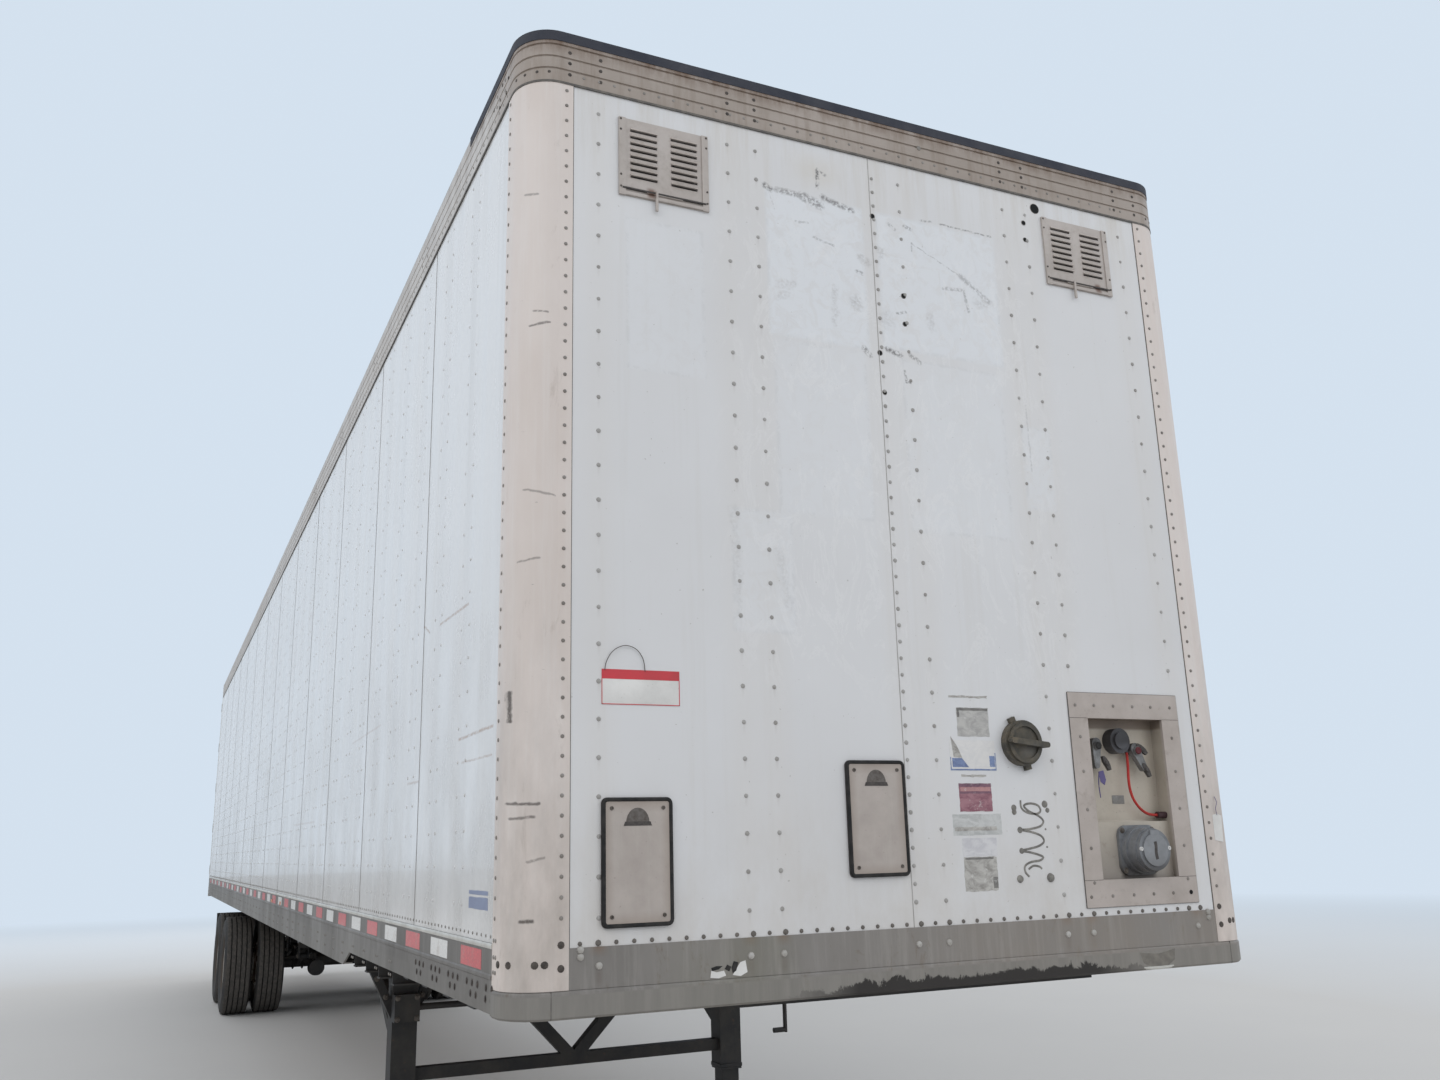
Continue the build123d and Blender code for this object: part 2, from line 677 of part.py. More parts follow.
def roof_cap():
    # The dark roofing that laps over the nose rail and a little way along both sides.
    top = HEIGHT - CAP_LAP
    low = HEIGHT - CAP_DROP
    profile = [(0, low), (CAP_LAP, low), (CAP_LAP, top), (CAP_INWARD, top), (CAP_INWARD, HEIGHT), (0, HEIGHT)]
    cap = wrapped_rail(profile)
    for piece in both_sides(along_y([(HALF - d, z) for d, z in profile], SIDE_START, NOSE + CAP_LENGTH)):
        cap = cap + piece
    return [cap]


def rear_frame():
    post_outer = HALF - REAR_POST_INSET
    post_inner = post_outer - REAR_POST_WIDTH
    frame = block(-post_outer, post_outer, FRAME_FRONT, REAR, HEADER_BOTTOM, HEIGHT)
    frame = frame + block(-post_outer, post_outer, FRAME_FRONT, REAR, SILL_BOTTOM, FLOOR_TOP)
    for side in (-1, 1):
        near, far = side * post_inner, side * post_outer
        frame = frame + block(near, far, FRAME_FRONT, REAR, FLOOR_TOP, HEADER_BOTTOM)
    return [frame]


def hinge_heights():
    return spread(FLOOR_TOP + HINGE_END, HEADER_BOTTOM - HINGE_END, HINGE_COUNT)


def hinge_lugs():
    # Two fixed knuckles for each strap, on webs from the post, with the pin through both.
    outer = STRAP_HEIGHT / 2 + KNUCKLE_GAP + KNUCKLE_HEIGHT
    inner = STRAP_HEIGHT / 2 + KNUCKLE_GAP
    lug = rod_z(0, 0, -outer, outer, PIN_RADIUS)
    for low, high in ((-outer, -inner), (inner, outer)):
        knuckle = rod_z(0, 0, low, high, KNUCKLE_RADIUS)
        web = block(-KNUCKLE_RADIUS - 14, 0, -PIN_OUT, -4, low, high)
        lug = lug + knuckle + web
    pieces = []
    for z in hinge_heights():
        pieces += both_sides(Pos(PIN_X, PIN_Y, z) * lug)
    return pieces


def door_leaf():
    x0 = DOOR_MIDDLE_GAP / 2
    x1 = HALF - REAR_POST_INSET - REAR_POST_WIDTH - DOOR_SIDE_GAP
    return block(x0, x1, DOOR_FACE - DOOR_THICK, DOOR_FACE, FLOOR_TOP + DOOR_GAP, HEADER_BOTTOM - DOOR_GAP)


def door_hardware():
    # Hinge straps with their barrels, and two lock rods with guides, cams and a handle.
    pieces = []
    half = STRAP_HEIGHT / 2
    for z in hinge_heights():
        barrel = rod_z(PIN_X, PIN_Y, z - half, z + half, KNUCKLE_RADIUS)
        strap = block(PIN_X - STRAP_LENGTH, PIN_X, DOOR_FACE, DOOR_FACE + STRAP_THICK, z - half, z + half)
        face = DOOR_FACE + STRAP_THICK
        neck = block(PIN_X - KNUCKLE_RADIUS + 1, PIN_X, face - 1, PIN_Y, z - half, z + half)
        bore = rod_z(PIN_X, PIN_Y, z - STRAP_HEIGHT, z + STRAP_HEIGHT, PIN_RADIUS + HUB_CLEARANCE)
        pieces.append((barrel + strap + neck) - bore)
    low = SILL_BOTTOM + KEEPER_IN - 10
    high = HEADER_BOTTOM + KEEPER_IN + 10
    y = DOOR_FACE + ROD_OUT
    handle_z = FLOOR_TOP + HANDLE_ABOVE_FLOOR
    for inward in ROD_INWARD:
        x = PIN_X - inward
        rod = rod_z(x, y, low, high, ROD_RADIUS)
        for z in (low + 10, high - 10):
            rod = rod + block(x - 40, x + 40, y - 12, y + 12, z - 10, z + 10)
        for z in spread(FLOOR_TOP + GUIDE_END, HEADER_BOTTOM - GUIDE_END, GUIDE_COUNT):
            rod = rod + block(x - 34, x + 34, DOOR_FACE, y, z - 18, z + 18)
        if inward == ROD_INWARD[-1]:
            rod = rod + block(x, x + HANDLE_LENGTH, y + 8, y + 20, handle_z - 16, handle_z + 16)
            rest = x + HANDLE_LENGTH - 60
            rod = rod + block(rest, rest + 30, DOOR_FACE, y + 8, handle_z - 24, handle_z - 16 + 8)
        pieces.append(rod)
    return pieces


def rod_keepers():
    # A jaw behind each cam, on the header and the sill.
    pieces = []
    for inward in ROD_INWARD:
        x = PIN_X - inward
        for z in (SILL_BOTTOM + KEEPER_IN, HEADER_BOTTOM + KEEPER_IN):
            pieces += both_sides(block(x - 50, x + 50, REAR, REAR + 14, z - 30, z + 30))
    return pieces


def rear_guard():
    # The underride tube on two uprights, with braces forward to a plate under the floor beams.
    back = REAR - GUARD_IN
    half = GUARD_TUBE / 2
    top = GUARD_Z + half
    foot_y = beam_y(BEAM_COUNT - 2)
    upright = GUARD_UPRIGHT / 2
    guard = block(-GUARD_HALF, GUARD_HALF, back - GUARD_TUBE, back, GUARD_Z - half, top)
    for side in (-1, 1):
        x = side * GUARD_X
        guard = guard + block(x - upright, x + upright, back - GUARD_TUBE + 10, back - 10, top, SILL_BOTTOM)
        start = (x, back - half - 10, top + GUARD_BRACE / 2)
        guard = guard + bar(start, (x, foot_y, BEAM_BOTTOM - 10), GUARD_BRACE)
    reach = GUARD_X + upright + 20
    foot = BEAM_FLANGE + 3
    guard = guard + block(-reach, reach, foot_y - foot, foot_y + foot, BEAM_BOTTOM - 12, BEAM_BOTTOM)
    high = BEAM_BOTTOM + GUARD_TUBE
    above = block(-HALF, HALF, foot_y - BEAM_PITCH, foot_y + BEAM_PITCH, BEAM_BOTTOM, high)
    return [guard - above]


def dock_bumpers():
    low = SILL_BOTTOM + 8
    high = low + BUMPER_HEIGHT
    pieces = []
    for inward in BUMPER_INWARD:
        x = HALF - inward
        pieces += both_sides(block(x - BUMPER_HALF, x + BUMPER_HALF, REAR, REAR + REAR_OUT, low, high))
    return pieces


def lamps_red():
    pieces = []
    low = FLOOR_TOP - LAMP_RADIUS * 2
    for inward in LAMP_INWARD:
        pieces += both_sides(rod_y(HALF - inward, REAR, REAR + LAMP_OUT, low, LAMP_RADIUS))
    for x in (-150, 0, 150):
        pieces.append(rod_y(x, REAR, REAR + LAMP_OUT, HEADER_BOTTOM + HEADER_HEIGHT / 2, LAMP_RADIUS))
    return pieces


def side_markers():
    # Small marker lamps on the side rails, let into the tape band.
    outer = HALF - SHEET_INSET / 2
    z = LIP_Z + 12
    pieces = []
    for along in (5850, 6460):
        y = NOSE + along
        pieces += both_sides(block(outer, HALF, y - 40, y + 40, z, z + 24))
    return pieces


def coupler_plate():
    # The pick-up plate with cross channels above it and a seat for the kingpin's flange.
    y0 = NOSE + RAIL_THICK
    y1 = NOSE + COUPLER_LENGTH
    top = COUPLER_BOTTOM + COUPLER_THICK
    half = COUPLER_CHANNEL_WIDTH / 2
    plate = block(-COUPLER_HALF_WIDTH, COUPLER_HALF_WIDTH, y0, y1, COUPLER_BOTTOM, top)
    for y in spread(y0 + 1.5 * half, y1 - 1.5 * half, COUPLER_CHANNELS):
        reach = HALF - CORNER_RADIUS if y < NOSE + CORNER_LEG else BEAM_END
        plate = plate + block(-reach, reach, y - half, y + half, top, FLOOR_BOTTOM)
    seat = rod_z(0, NOSE + KINGPIN_Y, COUPLER_BOTTOM - 1, top, KINGPIN_FLANGE + PIN_SEAT_CLEARANCE)
    return [plate - seat]


def kingpin():
    # Flange in the plate, shoulder, neck that the jaws close on, and lower collar.
    z = COUPLER_BOTTOM
    # Columns: radius, height above the plate's underside
    points = [
        (0, COUPLER_THICK), (KINGPIN_FLANGE, COUPLER_THICK), (KINGPIN_FLANGE, 0), (KINGPIN_SHOULDER, 0),
        (KINGPIN_SHOULDER, -28), (KINGPIN_NECK, -30), (KINGPIN_NECK, 21 - KINGPIN_LENGTH),
        (KINGPIN_COLLAR, 19 - KINGPIN_LENGTH), (KINGPIN_COLLAR, 4 - KINGPIN_LENGTH),
        (KINGPIN_COLLAR - 5, -KINGPIN_LENGTH), (0, -KINGPIN_LENGTH),
    ]
    face = make_face(Polyline(*[(r, 0, z + d) for r, d in points], close=True))
    return [Pos(0, NOSE + KINGPIN_Y, 0) * revolve(face, Axis.Z, 360)]


def landing_legs():
    # Square tubes that slide in each other, a gearbox, gussets up to the beams and a flared shoe.
    y = NOSE + LEG_Y
    half = LEG_TUBE / 2
    inner = LEG_INNER / 2
    leg = block(LEG_X - half, LEG_X + half, y - half, y + half, LEG_SPLIT_Z, BEAM_BOTTOM)
    leg = leg + block(LEG_X - inner, LEG_X + inner, y - inner, y + inner, SHOE_HEIGHT, LEG_SPLIT_Z)
    sole = Rectangle(SHOE_SIZE, SHOE_SIZE)
    ankle = Plane.XY.offset(SHOE_HEIGHT) * Rectangle(ANKLE, ANKLE)
    leg = leg + Pos(LEG_X, y, 0) * loft([sole, ankle])
    low = SHAFT_Z - GEARBOX_HEIGHT / 2
    high = SHAFT_Z + GEARBOX_HEIGHT / 2
    leg = leg + block(LEG_X - half, LEG_X + half, LEG_FRONT - GEARBOX_DEPTH, LEG_FRONT, low, high)
    for side in (-1, 1):
        near = LEG_X + side * half
        far = near + side * GUSSET_REACH
        gusset = [(near, GUSSET_Z), (far, BEAM_BOTTOM), (far - side * 45, BEAM_BOTTOM), (near, GUSSET_Z + 95)]
        leg = leg + along_y(gusset, y - 25, y + 25)
    return both_sides(leg)


def landing_brace():
    # A cross bar low between the legs, a V from its middle up to the beams, and stays to the rear.
    y = NOSE + LEG_Y
    inside = LEG_X - LEG_TUBE / 2
    half = BRACE_SIZE / 2
    cross = block(-inside, inside, y - half, y + half, BRACE_Z - half, BRACE_Z + half)
    for side in (-1, 1):
        cross = cross + bar((0, y, BRACE_Z), (side * BRACE_TOP_X, y, BEAM_BOTTOM + half), BRACE_SIZE)
    cross = cross & block(-inside, inside, y - BRACE_SIZE, y + BRACE_SIZE, BRACE_Z - half, BEAM_BOTTOM)
    stay_beam = ceil((LEG_Y + STAY_REACH - FIRST_BEAM_Y) / BEAM_PITCH)
    stay_top = beam_y(stay_beam)
    foot = (LEG_X, LEG_BACK - STAY_SIZE, STAY_LOW_Z)
    stay = bar(foot, (LEG_X, stay_top + STAY_SIZE, BEAM_BOTTOM), STAY_SIZE)
    end = stay_top + 2 * STAY_SIZE
    room = block(LEG_X - STAY_SIZE, LEG_X + STAY_SIZE, LEG_BACK, end, SHOE_HEIGHT, BEAM_BOTTOM)
    return [cross] + both_sides(stay & room)


def landing_crank():
    # The shaft between the gearboxes, and the crank on the road side, folded under the rail.
    inside = LEG_X - LEG_TUBE / 2
    outside = LEG_X + LEG_TUBE / 2
    end = HALF - CRANK_INSET
    across = rod_x(-inside, inside, SHAFT_Y, SHAFT_Z, SHAFT_RADIUS)
    stub = rod_x(outside, end, SHAFT_Y, SHAFT_Z, SHAFT_RADIUS - 4)
    arm = block(end - 12, end, SHAFT_Y - 14, SHAFT_Y + 14, SHAFT_Z - CRANK_DROP, SHAFT_Z + 14)
    grip = rod_x(end - CRANK_GRIP, end, SHAFT_Y, SHAFT_Z - CRANK_DROP + 14, SHAFT_RADIUS - 2)
    return [across, stub + arm + grip]


def slider_rails():
    y0 = TANDEM_Y - BODY_RAIL_AHEAD
    y1 = TANDEM_Y + BODY_RAIL_BEHIND
    outer = SLIDER_X + SLIDER_WIDTH / 2 + SLIDER_CLEARANCE
    web = SLIDER_WALL
    low = BEAM_BOTTOM - BODY_RAIL_DEPTH
    inner = outer - SLIDER_WIDTH
    points = [
        (outer + web, BEAM_BOTTOM), (inner, BEAM_BOTTOM), (inner, BEAM_BOTTOM - web),
        (outer, BEAM_BOTTOM - web), (outer, low), (outer + web, low),
    ]
    return both_sides(along_y(points, y0, y1))


def slider_frame():
    # Two channels, open inwards, joined by three cross boxes.
    y0 = TANDEM_Y - AXLE_SPACING / 2 - SLIDER_AHEAD
    y1 = TANDEM_Y + AXLE_SPACING / 2 + SLIDER_BEHIND
    outer = SLIDER_X + SLIDER_WIDTH / 2
    inner = SLIDER_X - SLIDER_WIDTH / 2
    web = SLIDER_WALL
    points = [
        (outer, SLIDER_BOTTOM), (outer, SLIDER_TOP), (inner, SLIDER_TOP), (inner, SLIDER_TOP - web),
        (outer - web, SLIDER_TOP - web), (outer - web, SLIDER_BOTTOM + web), (inner, SLIDER_BOTTOM + web),
        (inner, SLIDER_BOTTOM),
    ]
    rail = along_y(points, y0, y1)
    frame = rail + mirror(rail, about=Plane.YZ)
    low = SLIDER_BOTTOM + 2 * web
    for y in (y0 + 60, TANDEM_Y, y1 - 60):
        frame = frame + block(web - outer, outer - web, y - 60, y + 60, low, SLIDER_BOTTOM + 140)
    return [frame]


def spring_hangers():
    # Pairs of cheeks under each rail that take the spring ends, closed at the outer ends.
    gap = SPRING_WIDTH / 2 + HANGER_CLEARANCE
    low = SPRING_END_Z - 60
    reach = AXLE_SPACING / 2 + SPRING_HALF
    pieces = []
    # Columns: place along from the middle, half length, how far the foot leans, place of the closing plate
    places = [(-reach, HANGER_HALF, -40, -1), (0, HANGER_HALF + 20, 0, 0), (reach, HANGER_HALF, 40, 1)]
    for along, half, lean, end in places:
        y = TANDEM_Y + along
        cheek = [
            (y - half - 50, SLIDER_BOTTOM), (y + half + 50, SLIDER_BOTTOM), (y + half, SPRING_END_Z + 40),
            (y + half + lean / 2, low), (y - half + lean / 2, low), (y - half, SPRING_END_Z + 40),
        ]
        hanger = along_x(cheek, SLIDER_X - gap - HANGER_WALL, SLIDER_X - gap)
        hanger = hanger + along_x(cheek, SLIDER_X + gap, SLIDER_X + gap + HANGER_WALL)
        top = SLIDER_BOTTOM - HANGER_WALL
        hanger = hanger + block(SLIDER_X - gap, SLIDER_X + gap, y - half, y + half, top, SLIDER_BOTTOM)
        if end:
            plate = y + end * half
            back = plate - end * HANGER_WALL
            hanger = hanger + block(SLIDER_X - gap, SLIDER_X + gap, plate, back, SPRING_END_Z + 50, top)
        pieces += both_sides(hanger)
    return pieces


def rocker():
    # The equaliser between the two springs, on a pin through the middle hanger's cheeks.
    gap = SPRING_WIDTH / 2 + HANGER_CLEARANCE
    z = SPRING_END_Z + 3 * LEAF_THICK
    outline = [
        (-ROCKER_HALF, z), (-ROCKER_HALF, z + 26), (-60, z + 64), (60, z + 64),
        (ROCKER_HALF, z + 26), (ROCKER_HALF, z), (60, z + 6), (-60, z + 6),
    ]
    half = SPRING_WIDTH / 2
    beam = along_x([(TANDEM_Y + y, h) for y, h in outline], SLIDER_X - half, SLIDER_X + half)
    pin = rod_x(SLIDER_X - gap, SLIDER_X + gap, TANDEM_Y, z + 35, 20)
    return beam + pin


def axle_core(y):
    """The room that an axle tube takes."""
    return rod_x(-MOUNT_FACE_X, MOUNT_FACE_X, y, TYRE_RADIUS, AXLE_RADIUS)


def spring_leaf(yc, index):
    """One leaf, bent about a centre above the axle; the next leaf down is shorter."""
    half = SPRING_HALF - 20 - index * 150
    bend = (SPRING_HALF ** 2 + SPRING_RISE ** 2) / (2 * SPRING_RISE)
    top = bend - (LEAF_COUNT - 1 - index) * LEAF_THICK
    low = top + LEAF_THICK
    centre_z = SEAT_Z + LEAF_THICK + bend

    def at(radius, y):
        return (0, yc + y, centre_z - (radius ** 2 - y ** 2) ** 0.5)

    edges = [
        ThreePointArc(at(low, -half), at(low, 0), at(low, half)),
        Line(at(low, half), at(top, half)),
        ThreePointArc(at(top, half), at(top, 0), at(top, -half)),
        Line(at(top, -half), at(low, -half)),
    ]
    width = SPRING_WIDTH / 2
    return extrude(Pos(SLIDER_X - width, 0, 0) * make_face(edges), amount=2 * width, dir=(1, 0, 0))


def leaf_springs():
    # A pack of leaves on its seat over each axle end, and the rocker between the two packs.
    pieces = []
    half = SPRING_WIDTH / 2
    for axle in (-1, 1):
        yc = TANDEM_Y + axle * AXLE_SPACING / 2
        pack = spring_leaf(yc, 0)
        for index in range(1, LEAF_COUNT):
            pack = pack + spring_leaf(yc, index)
        low = TYRE_RADIUS + AXLE_RADIUS / 2
        seat = block(SLIDER_X - half, SLIDER_X + half, yc - 70, yc + 70, low, SEAT_Z)
        pieces += both_sides(pack + (seat - axle_core(yc)))
    return pieces + both_sides(rocker())


def radius_rods():
    # A rod from each axle end forward to the foot of the hanger ahead of it.
    pieces = []
    for axle in (-1, 1):
        yc = TANDEM_Y + axle * AXLE_SPACING / 2
        back = (SLIDER_X, yc - AXLE_RADIUS - 20, TYRE_RADIUS - 10)
        hanger = TANDEM_Y - AXLE_SPACING / 2 - SPRING_HALF if axle < 0 else TANDEM_Y
        front = (SLIDER_X, hanger + 20, SPRING_END_Z - 36)
        path = Line(back, front)
        rod = sweep(Plane(path @ 0, z_dir=path % 0) * Circle(RADIUS_ROD), path=path)
        gap = SPRING_WIDTH / 2 + HANGER_CLEARANCE
        rod = rod + rod_x(SLIDER_X - gap, SLIDER_X + gap, front[1], front[2], RADIUS_ROD + 8)
        y0 = yc - AXLE_RADIUS - 30
        lug = block(SLIDER_X - 30, SLIDER_X + 30, y0, yc - 20, TYRE_RADIUS - 40, TYRE_RADIUS + 18)
        pieces += both_sides(rod + (lug - axle_core(yc)))
    return pieces


def axles():
    # A round tube with a stepped spindle and a brake spider at each end.
    shoulder = MOUNT_FACE_X - SPINDLE_STEP
    tip = MOUNT_FACE_X + 100
    half = turned([
        (0, 0), (0, AXLE_RADIUS), (shoulder, AXLE_RADIUS), (shoulder, SPINDLE_RADIUS), (tip, SPINDLE_RADIUS),
        (tip, 0),
    ])
    spider_x = MOUNT_FACE_X - SPIDER_X
    half = half + rod_x(spider_x - 4, spider_x + 4, 0, 0, DRUM_RADIUS - 25)
    tube = half + mirror(half, about=Plane.YZ)
    return [Pos(0, TANDEM_Y + axle * AXLE_SPACING / 2, TYRE_RADIUS) * tube for axle in (-1, 1)]


def brake_gear():
    # Ahead of each axle end: a two-part chamber on its bracket, the slack adjuster and the cam tube.
    pieces = []
    spider = MOUNT_FACE_X - SPIDER_X - 4
    cam_z = TYRE_RADIUS + AXLE_RADIUS + CAM_RADIUS - 30
    for axle in (-1, 1):
        yc = TANDEM_Y + axle * AXLE_SPACING / 2
        cam_y = yc - AXLE_RADIUS - 40
        front = yc - CAN_AHEAD - CAN_LENGTH
        can_z = cam_z - 110
        can = rod_y(CAN_X, front, front + CAN_LENGTH * 0.55, can_z, CAN_RADIUS)
        can = can + rod_y(CAN_X, front + CAN_LENGTH * 0.55, front + CAN_LENGTH * 0.65, can_z, CAN_RADIUS + 7)
        can = can + rod_y(CAN_X, front + CAN_LENGTH * 0.65, front + CAN_LENGTH, can_z, CAN_RADIUS - 12)
        push = rod_y(CAN_X, front + CAN_LENGTH, cam_y, can_z, 9)
        slack = block(CAN_X - 14, CAN_X + 14, cam_y - 22, cam_y + 22, can_z - 16, cam_z + 24)
        cam = rod_x(CAN_X - 14, spider, cam_y, cam_z, CAM_RADIUS)
        bracket = block(CAN_X + 20, CAN_X + 34, front + CAN_LENGTH - 12, yc, can_z - 40, can_z + 40)
        arm = block(CAN_X + 20, CAN_X + 60, cam_y - 30, yc, cam_z - 26, cam_z + 26)
        gear = can + push + slack + cam + bracket + arm
        pieces += both_sides(gear - axle_core(yc))
    return pieces


def air_tank():
    # A domed tank across the slider, on two straps from the cross box.
    y = TANDEM_Y + 60 + TANK_RADIUS + 14
    z = SLIDER_BOTTOM + 80
    half = TANK_LENGTH / 2
    tank = rod_x(-half, half, y, z, TANK_RADIUS)
    tank = fillet(tank.edges().filter_by(GeomType.CIRCLE), TANK_ROUND)
    for x in (-180, 180):
        tank = tank + block(x - 15, x + 15, TANDEM_Y + 60, y, z - 20, z + 20)
    return [tank]


def mud_flaps():
    y = TANDEM_Y + AXLE_SPACING / 2 + TYRE_RADIUS + FLAP_BEHIND
    outer = HALF - 20
    top = SLIDER_BOTTOM + 2 * FLAP_ARM
    arm = block(SLIDER_X + SLIDER_WIDTH / 2, outer, y - FLAP_ARM / 2, y + FLAP_ARM / 2, top - FLAP_ARM, top)
    low = top - FLAP_ARM - FLAP_HEIGHT
    flap = block(outer - FLAP_WIDTH, outer, y - FLAP_THICK / 2, y + FLAP_THICK / 2, low, top - FLAP_ARM)
    return both_sides(arm + flap)


def tyre():
    """A tyre whose round is made of flats, all as far from its axle as the ring that they stand for."""
    half = TYRE_WIDTH / 2
    bead = RIM_WIDTH / 2 - RIM_WALL - 6
    waist = (RIM_RADIUS + TYRE_RADIUS) / 2 + 10
    # Columns: across, distance from the axle
    side = [(bead, RIM_RADIUS), (half, waist), (half - 10, TYRE_RADIUS - 30), (half - 28, TYRE_RADIUS)]
    section = side + [(-across, away) for across, away in reversed(side)]
    corner = 1 / cos(pi / TYRE_FLATS)
    rings = []
    for across, away in section:
        turns = [(2 * k + 1) * pi / TYRE_FLATS for k in range(TYRE_FLATS)]
        rings.append([(across, away * corner * sin(turn), -away * corner * cos(turn)) for turn in turns])
    faces = []
    for ring, following in zip(rings, rings[1:] + rings[:1]):
        for k in range(TYRE_FLATS):
            last = k - 1
            faces.append(make_face(Polyline(ring[last], ring[k], following[k], following[last], close=True)))
    return Solid(Shell(faces))


def rim():
    """A dished disc wheel, its mounting face at x = 0 and its rim outwards."""
    near = DUAL_SPACING / 2 - RIM_WIDTH / 2
    far = DUAL_SPACING / 2 + RIM_WIDTH / 2
    inside = RIM_RADIUS - RIM_WALL
    dish = near + 30
    flange = RIM_RADIUS + RIM_FLANGE
    points = [
        (near, flange), (near + RIM_WALL, flange), (near + RIM_WALL, RIM_RADIUS),
        (far - RIM_WALL, RIM_RADIUS), (far - RIM_WALL, flange), (far, flange),
        (far, inside), (dish + DISC_THICK, inside), (DISC_THICK, DISC_FLAT), (DISC_THICK, HUB_RADIUS),
        (0, HUB_RADIUS), (0, DISC_FLAT), (dish, inside), (near, inside),
    ]
    wheel = turned(points)
    middle = (DISC_FLAT + inside) / 2
    for k in range(HAND_HOLES):
        turn = 2 * pi * k / HAND_HOLES
        wheel = wheel - rod_x(-far, far, middle * sin(turn), middle * cos(turn), HAND_HOLE_RADIUS)
    return wheel


def hub():
    """The hub with its cap, its flange and the brake drum, all turned in one piece."""
    bore = SPINDLE_RADIUS + HUB_CLEARANCE
    open_end = -DRUM_GAP - DRUM_WIDTH
    points = [
        (-120, bore), (112, bore), (112, 20), (126, 20), (126, 66), (104, HUB_RADIUS),
        (-DISC_THICK, HUB_RADIUS), (-DISC_THICK, DISC_FLAT), (-DRUM_GAP, DISC_FLAT),
        (-DRUM_GAP, DRUM_RADIUS), (open_end, DRUM_RADIUS), (open_end, DRUM_RADIUS - DRUM_WALL),
        (-DRUM_GAP - DRUM_WALL, DRUM_RADIUS - DRUM_WALL), (-DRUM_GAP - DRUM_WALL, HUB_RADIUS),
        (-120, HUB_RADIUS),
    ]
    return turned(points)


def wheel_end(side, axle):
    """Tyres and rims of one end of one axle, side -1 or 1, axle -1 front or 1 rear."""
    centre = Pos(0, TANDEM_Y + axle * AXLE_SPACING / 2, TYRE_RADIUS)
    tyres = [Pos(MOUNT_FACE_X + place * DUAL_SPACING / 2, 0, 0) * tyre() for place in (-1, 1)]
    outer = rim()
    inner = mirror(rim(), about=Plane.YZ)
    thick = DISC_THICK
    spigot = turned([(-thick, HUB_RADIUS), (thick, HUB_RADIUS), (thick, 60), (-thick, 60)])
    metal = [Pos(MOUNT_FACE_X, 0, 0) * (outer + inner + hub() + spigot)]
    if side < 0:
        tyres = [mirror(piece, about=Plane.YZ) for piece in tyres]
        metal = [mirror(piece, about=Plane.YZ) for piece in metal]
    return [centre * piece for piece in tyres], [centre * piece for piece in metal]


os.makedirs("parts", exist_ok=True)

save("floor_deck", floor_deck())
save("crossmembers", crossmembers())
save("side_rails", side_rails())
save("side_walls", side_walls())
save("top_rails", top_rails())
save("nose_top_rail", nose_top_rail())
save("nose_bottom_rail", nose_bottom_rail())
save("corner_posts", corner_posts())
save("nose_wall", nose_wall())
save("connection_box", connection_box())
save("gladhands", gladhands() + [hose_fitting()])
save("supply_hose", supply_hose())
save("power_receptacle", power_receptacle())
save("document_tube", document_tube())
save("nose_vents", nose_vents())
save("nose_covers", nose_covers())
save("roof_sheet", roof_sheet())
save("roof_bows", roof_bows())
save("roof_cap", roof_cap())
save("rear_frame", rear_frame())
save("rear_fittings", hinge_lugs() + rod_keepers())
save("rear_guard", rear_guard())
save("dock_bumpers", dock_bumpers())
save("lamps_red", lamps_red())
save("side_markers", side_markers())
save("coupler_plate", coupler_plate())
save("kingpin", kingpin())
save("landing_legs", landing_legs())
save("landing_brace", landing_brace())
save("landing_crank", landing_crank())
save("slider_rails", slider_rails())
save("slider_frame", slider_frame())
save("spring_hangers", spring_hangers())
save("leaf_springs", leaf_springs())
save("axles", axles())
save("brake_gear", brake_gear() + radius_rods() + air_tank())
save("mud_flaps", mud_flaps())

leaf = door_leaf()
hardware = door_hardware()
save("door_left_leaf", [leaf])
save("door_left_hardware", hardware)
save("door_right_leaf", [mirror(leaf, about=Plane.YZ)])
save("door_right_hardware", [mirror(piece, about=Plane.YZ) for piece in hardware])

for name, side, axle in (
    ("front_right", -1, -1), ("front_left", 1, -1), ("rear_right", -1, 1), ("rear_left", 1, 1),
):
    tyres, metal = wheel_end(side, axle)
    save(f"tyres_{name}", tyres)
    save(f"rims_{name}", metal)
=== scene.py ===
import math
import random

import bmesh
import bpy
from mathutils import Matrix, Vector


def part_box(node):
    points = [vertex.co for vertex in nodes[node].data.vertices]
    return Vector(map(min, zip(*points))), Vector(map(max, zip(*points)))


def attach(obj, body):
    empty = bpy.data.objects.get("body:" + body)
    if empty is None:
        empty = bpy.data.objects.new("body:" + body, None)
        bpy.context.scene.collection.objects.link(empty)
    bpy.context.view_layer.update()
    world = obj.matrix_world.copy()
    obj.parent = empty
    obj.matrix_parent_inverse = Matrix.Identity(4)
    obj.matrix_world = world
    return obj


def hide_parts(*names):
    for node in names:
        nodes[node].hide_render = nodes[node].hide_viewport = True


# A 53 ft dry-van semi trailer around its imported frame: looks, rivets, tape, tyres and the red hose.
# Metres. X across (the curb side is -X), Y along with the nose towards -Y, Z up from the ground.

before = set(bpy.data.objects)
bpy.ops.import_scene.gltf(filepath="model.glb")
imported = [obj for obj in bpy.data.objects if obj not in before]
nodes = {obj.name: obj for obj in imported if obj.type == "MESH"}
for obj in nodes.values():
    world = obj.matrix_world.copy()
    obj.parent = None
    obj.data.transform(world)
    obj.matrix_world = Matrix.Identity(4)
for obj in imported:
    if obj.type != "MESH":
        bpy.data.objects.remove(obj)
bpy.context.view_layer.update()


def low(node):
    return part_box(node)[0]


def high(node):
    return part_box(node)[1]


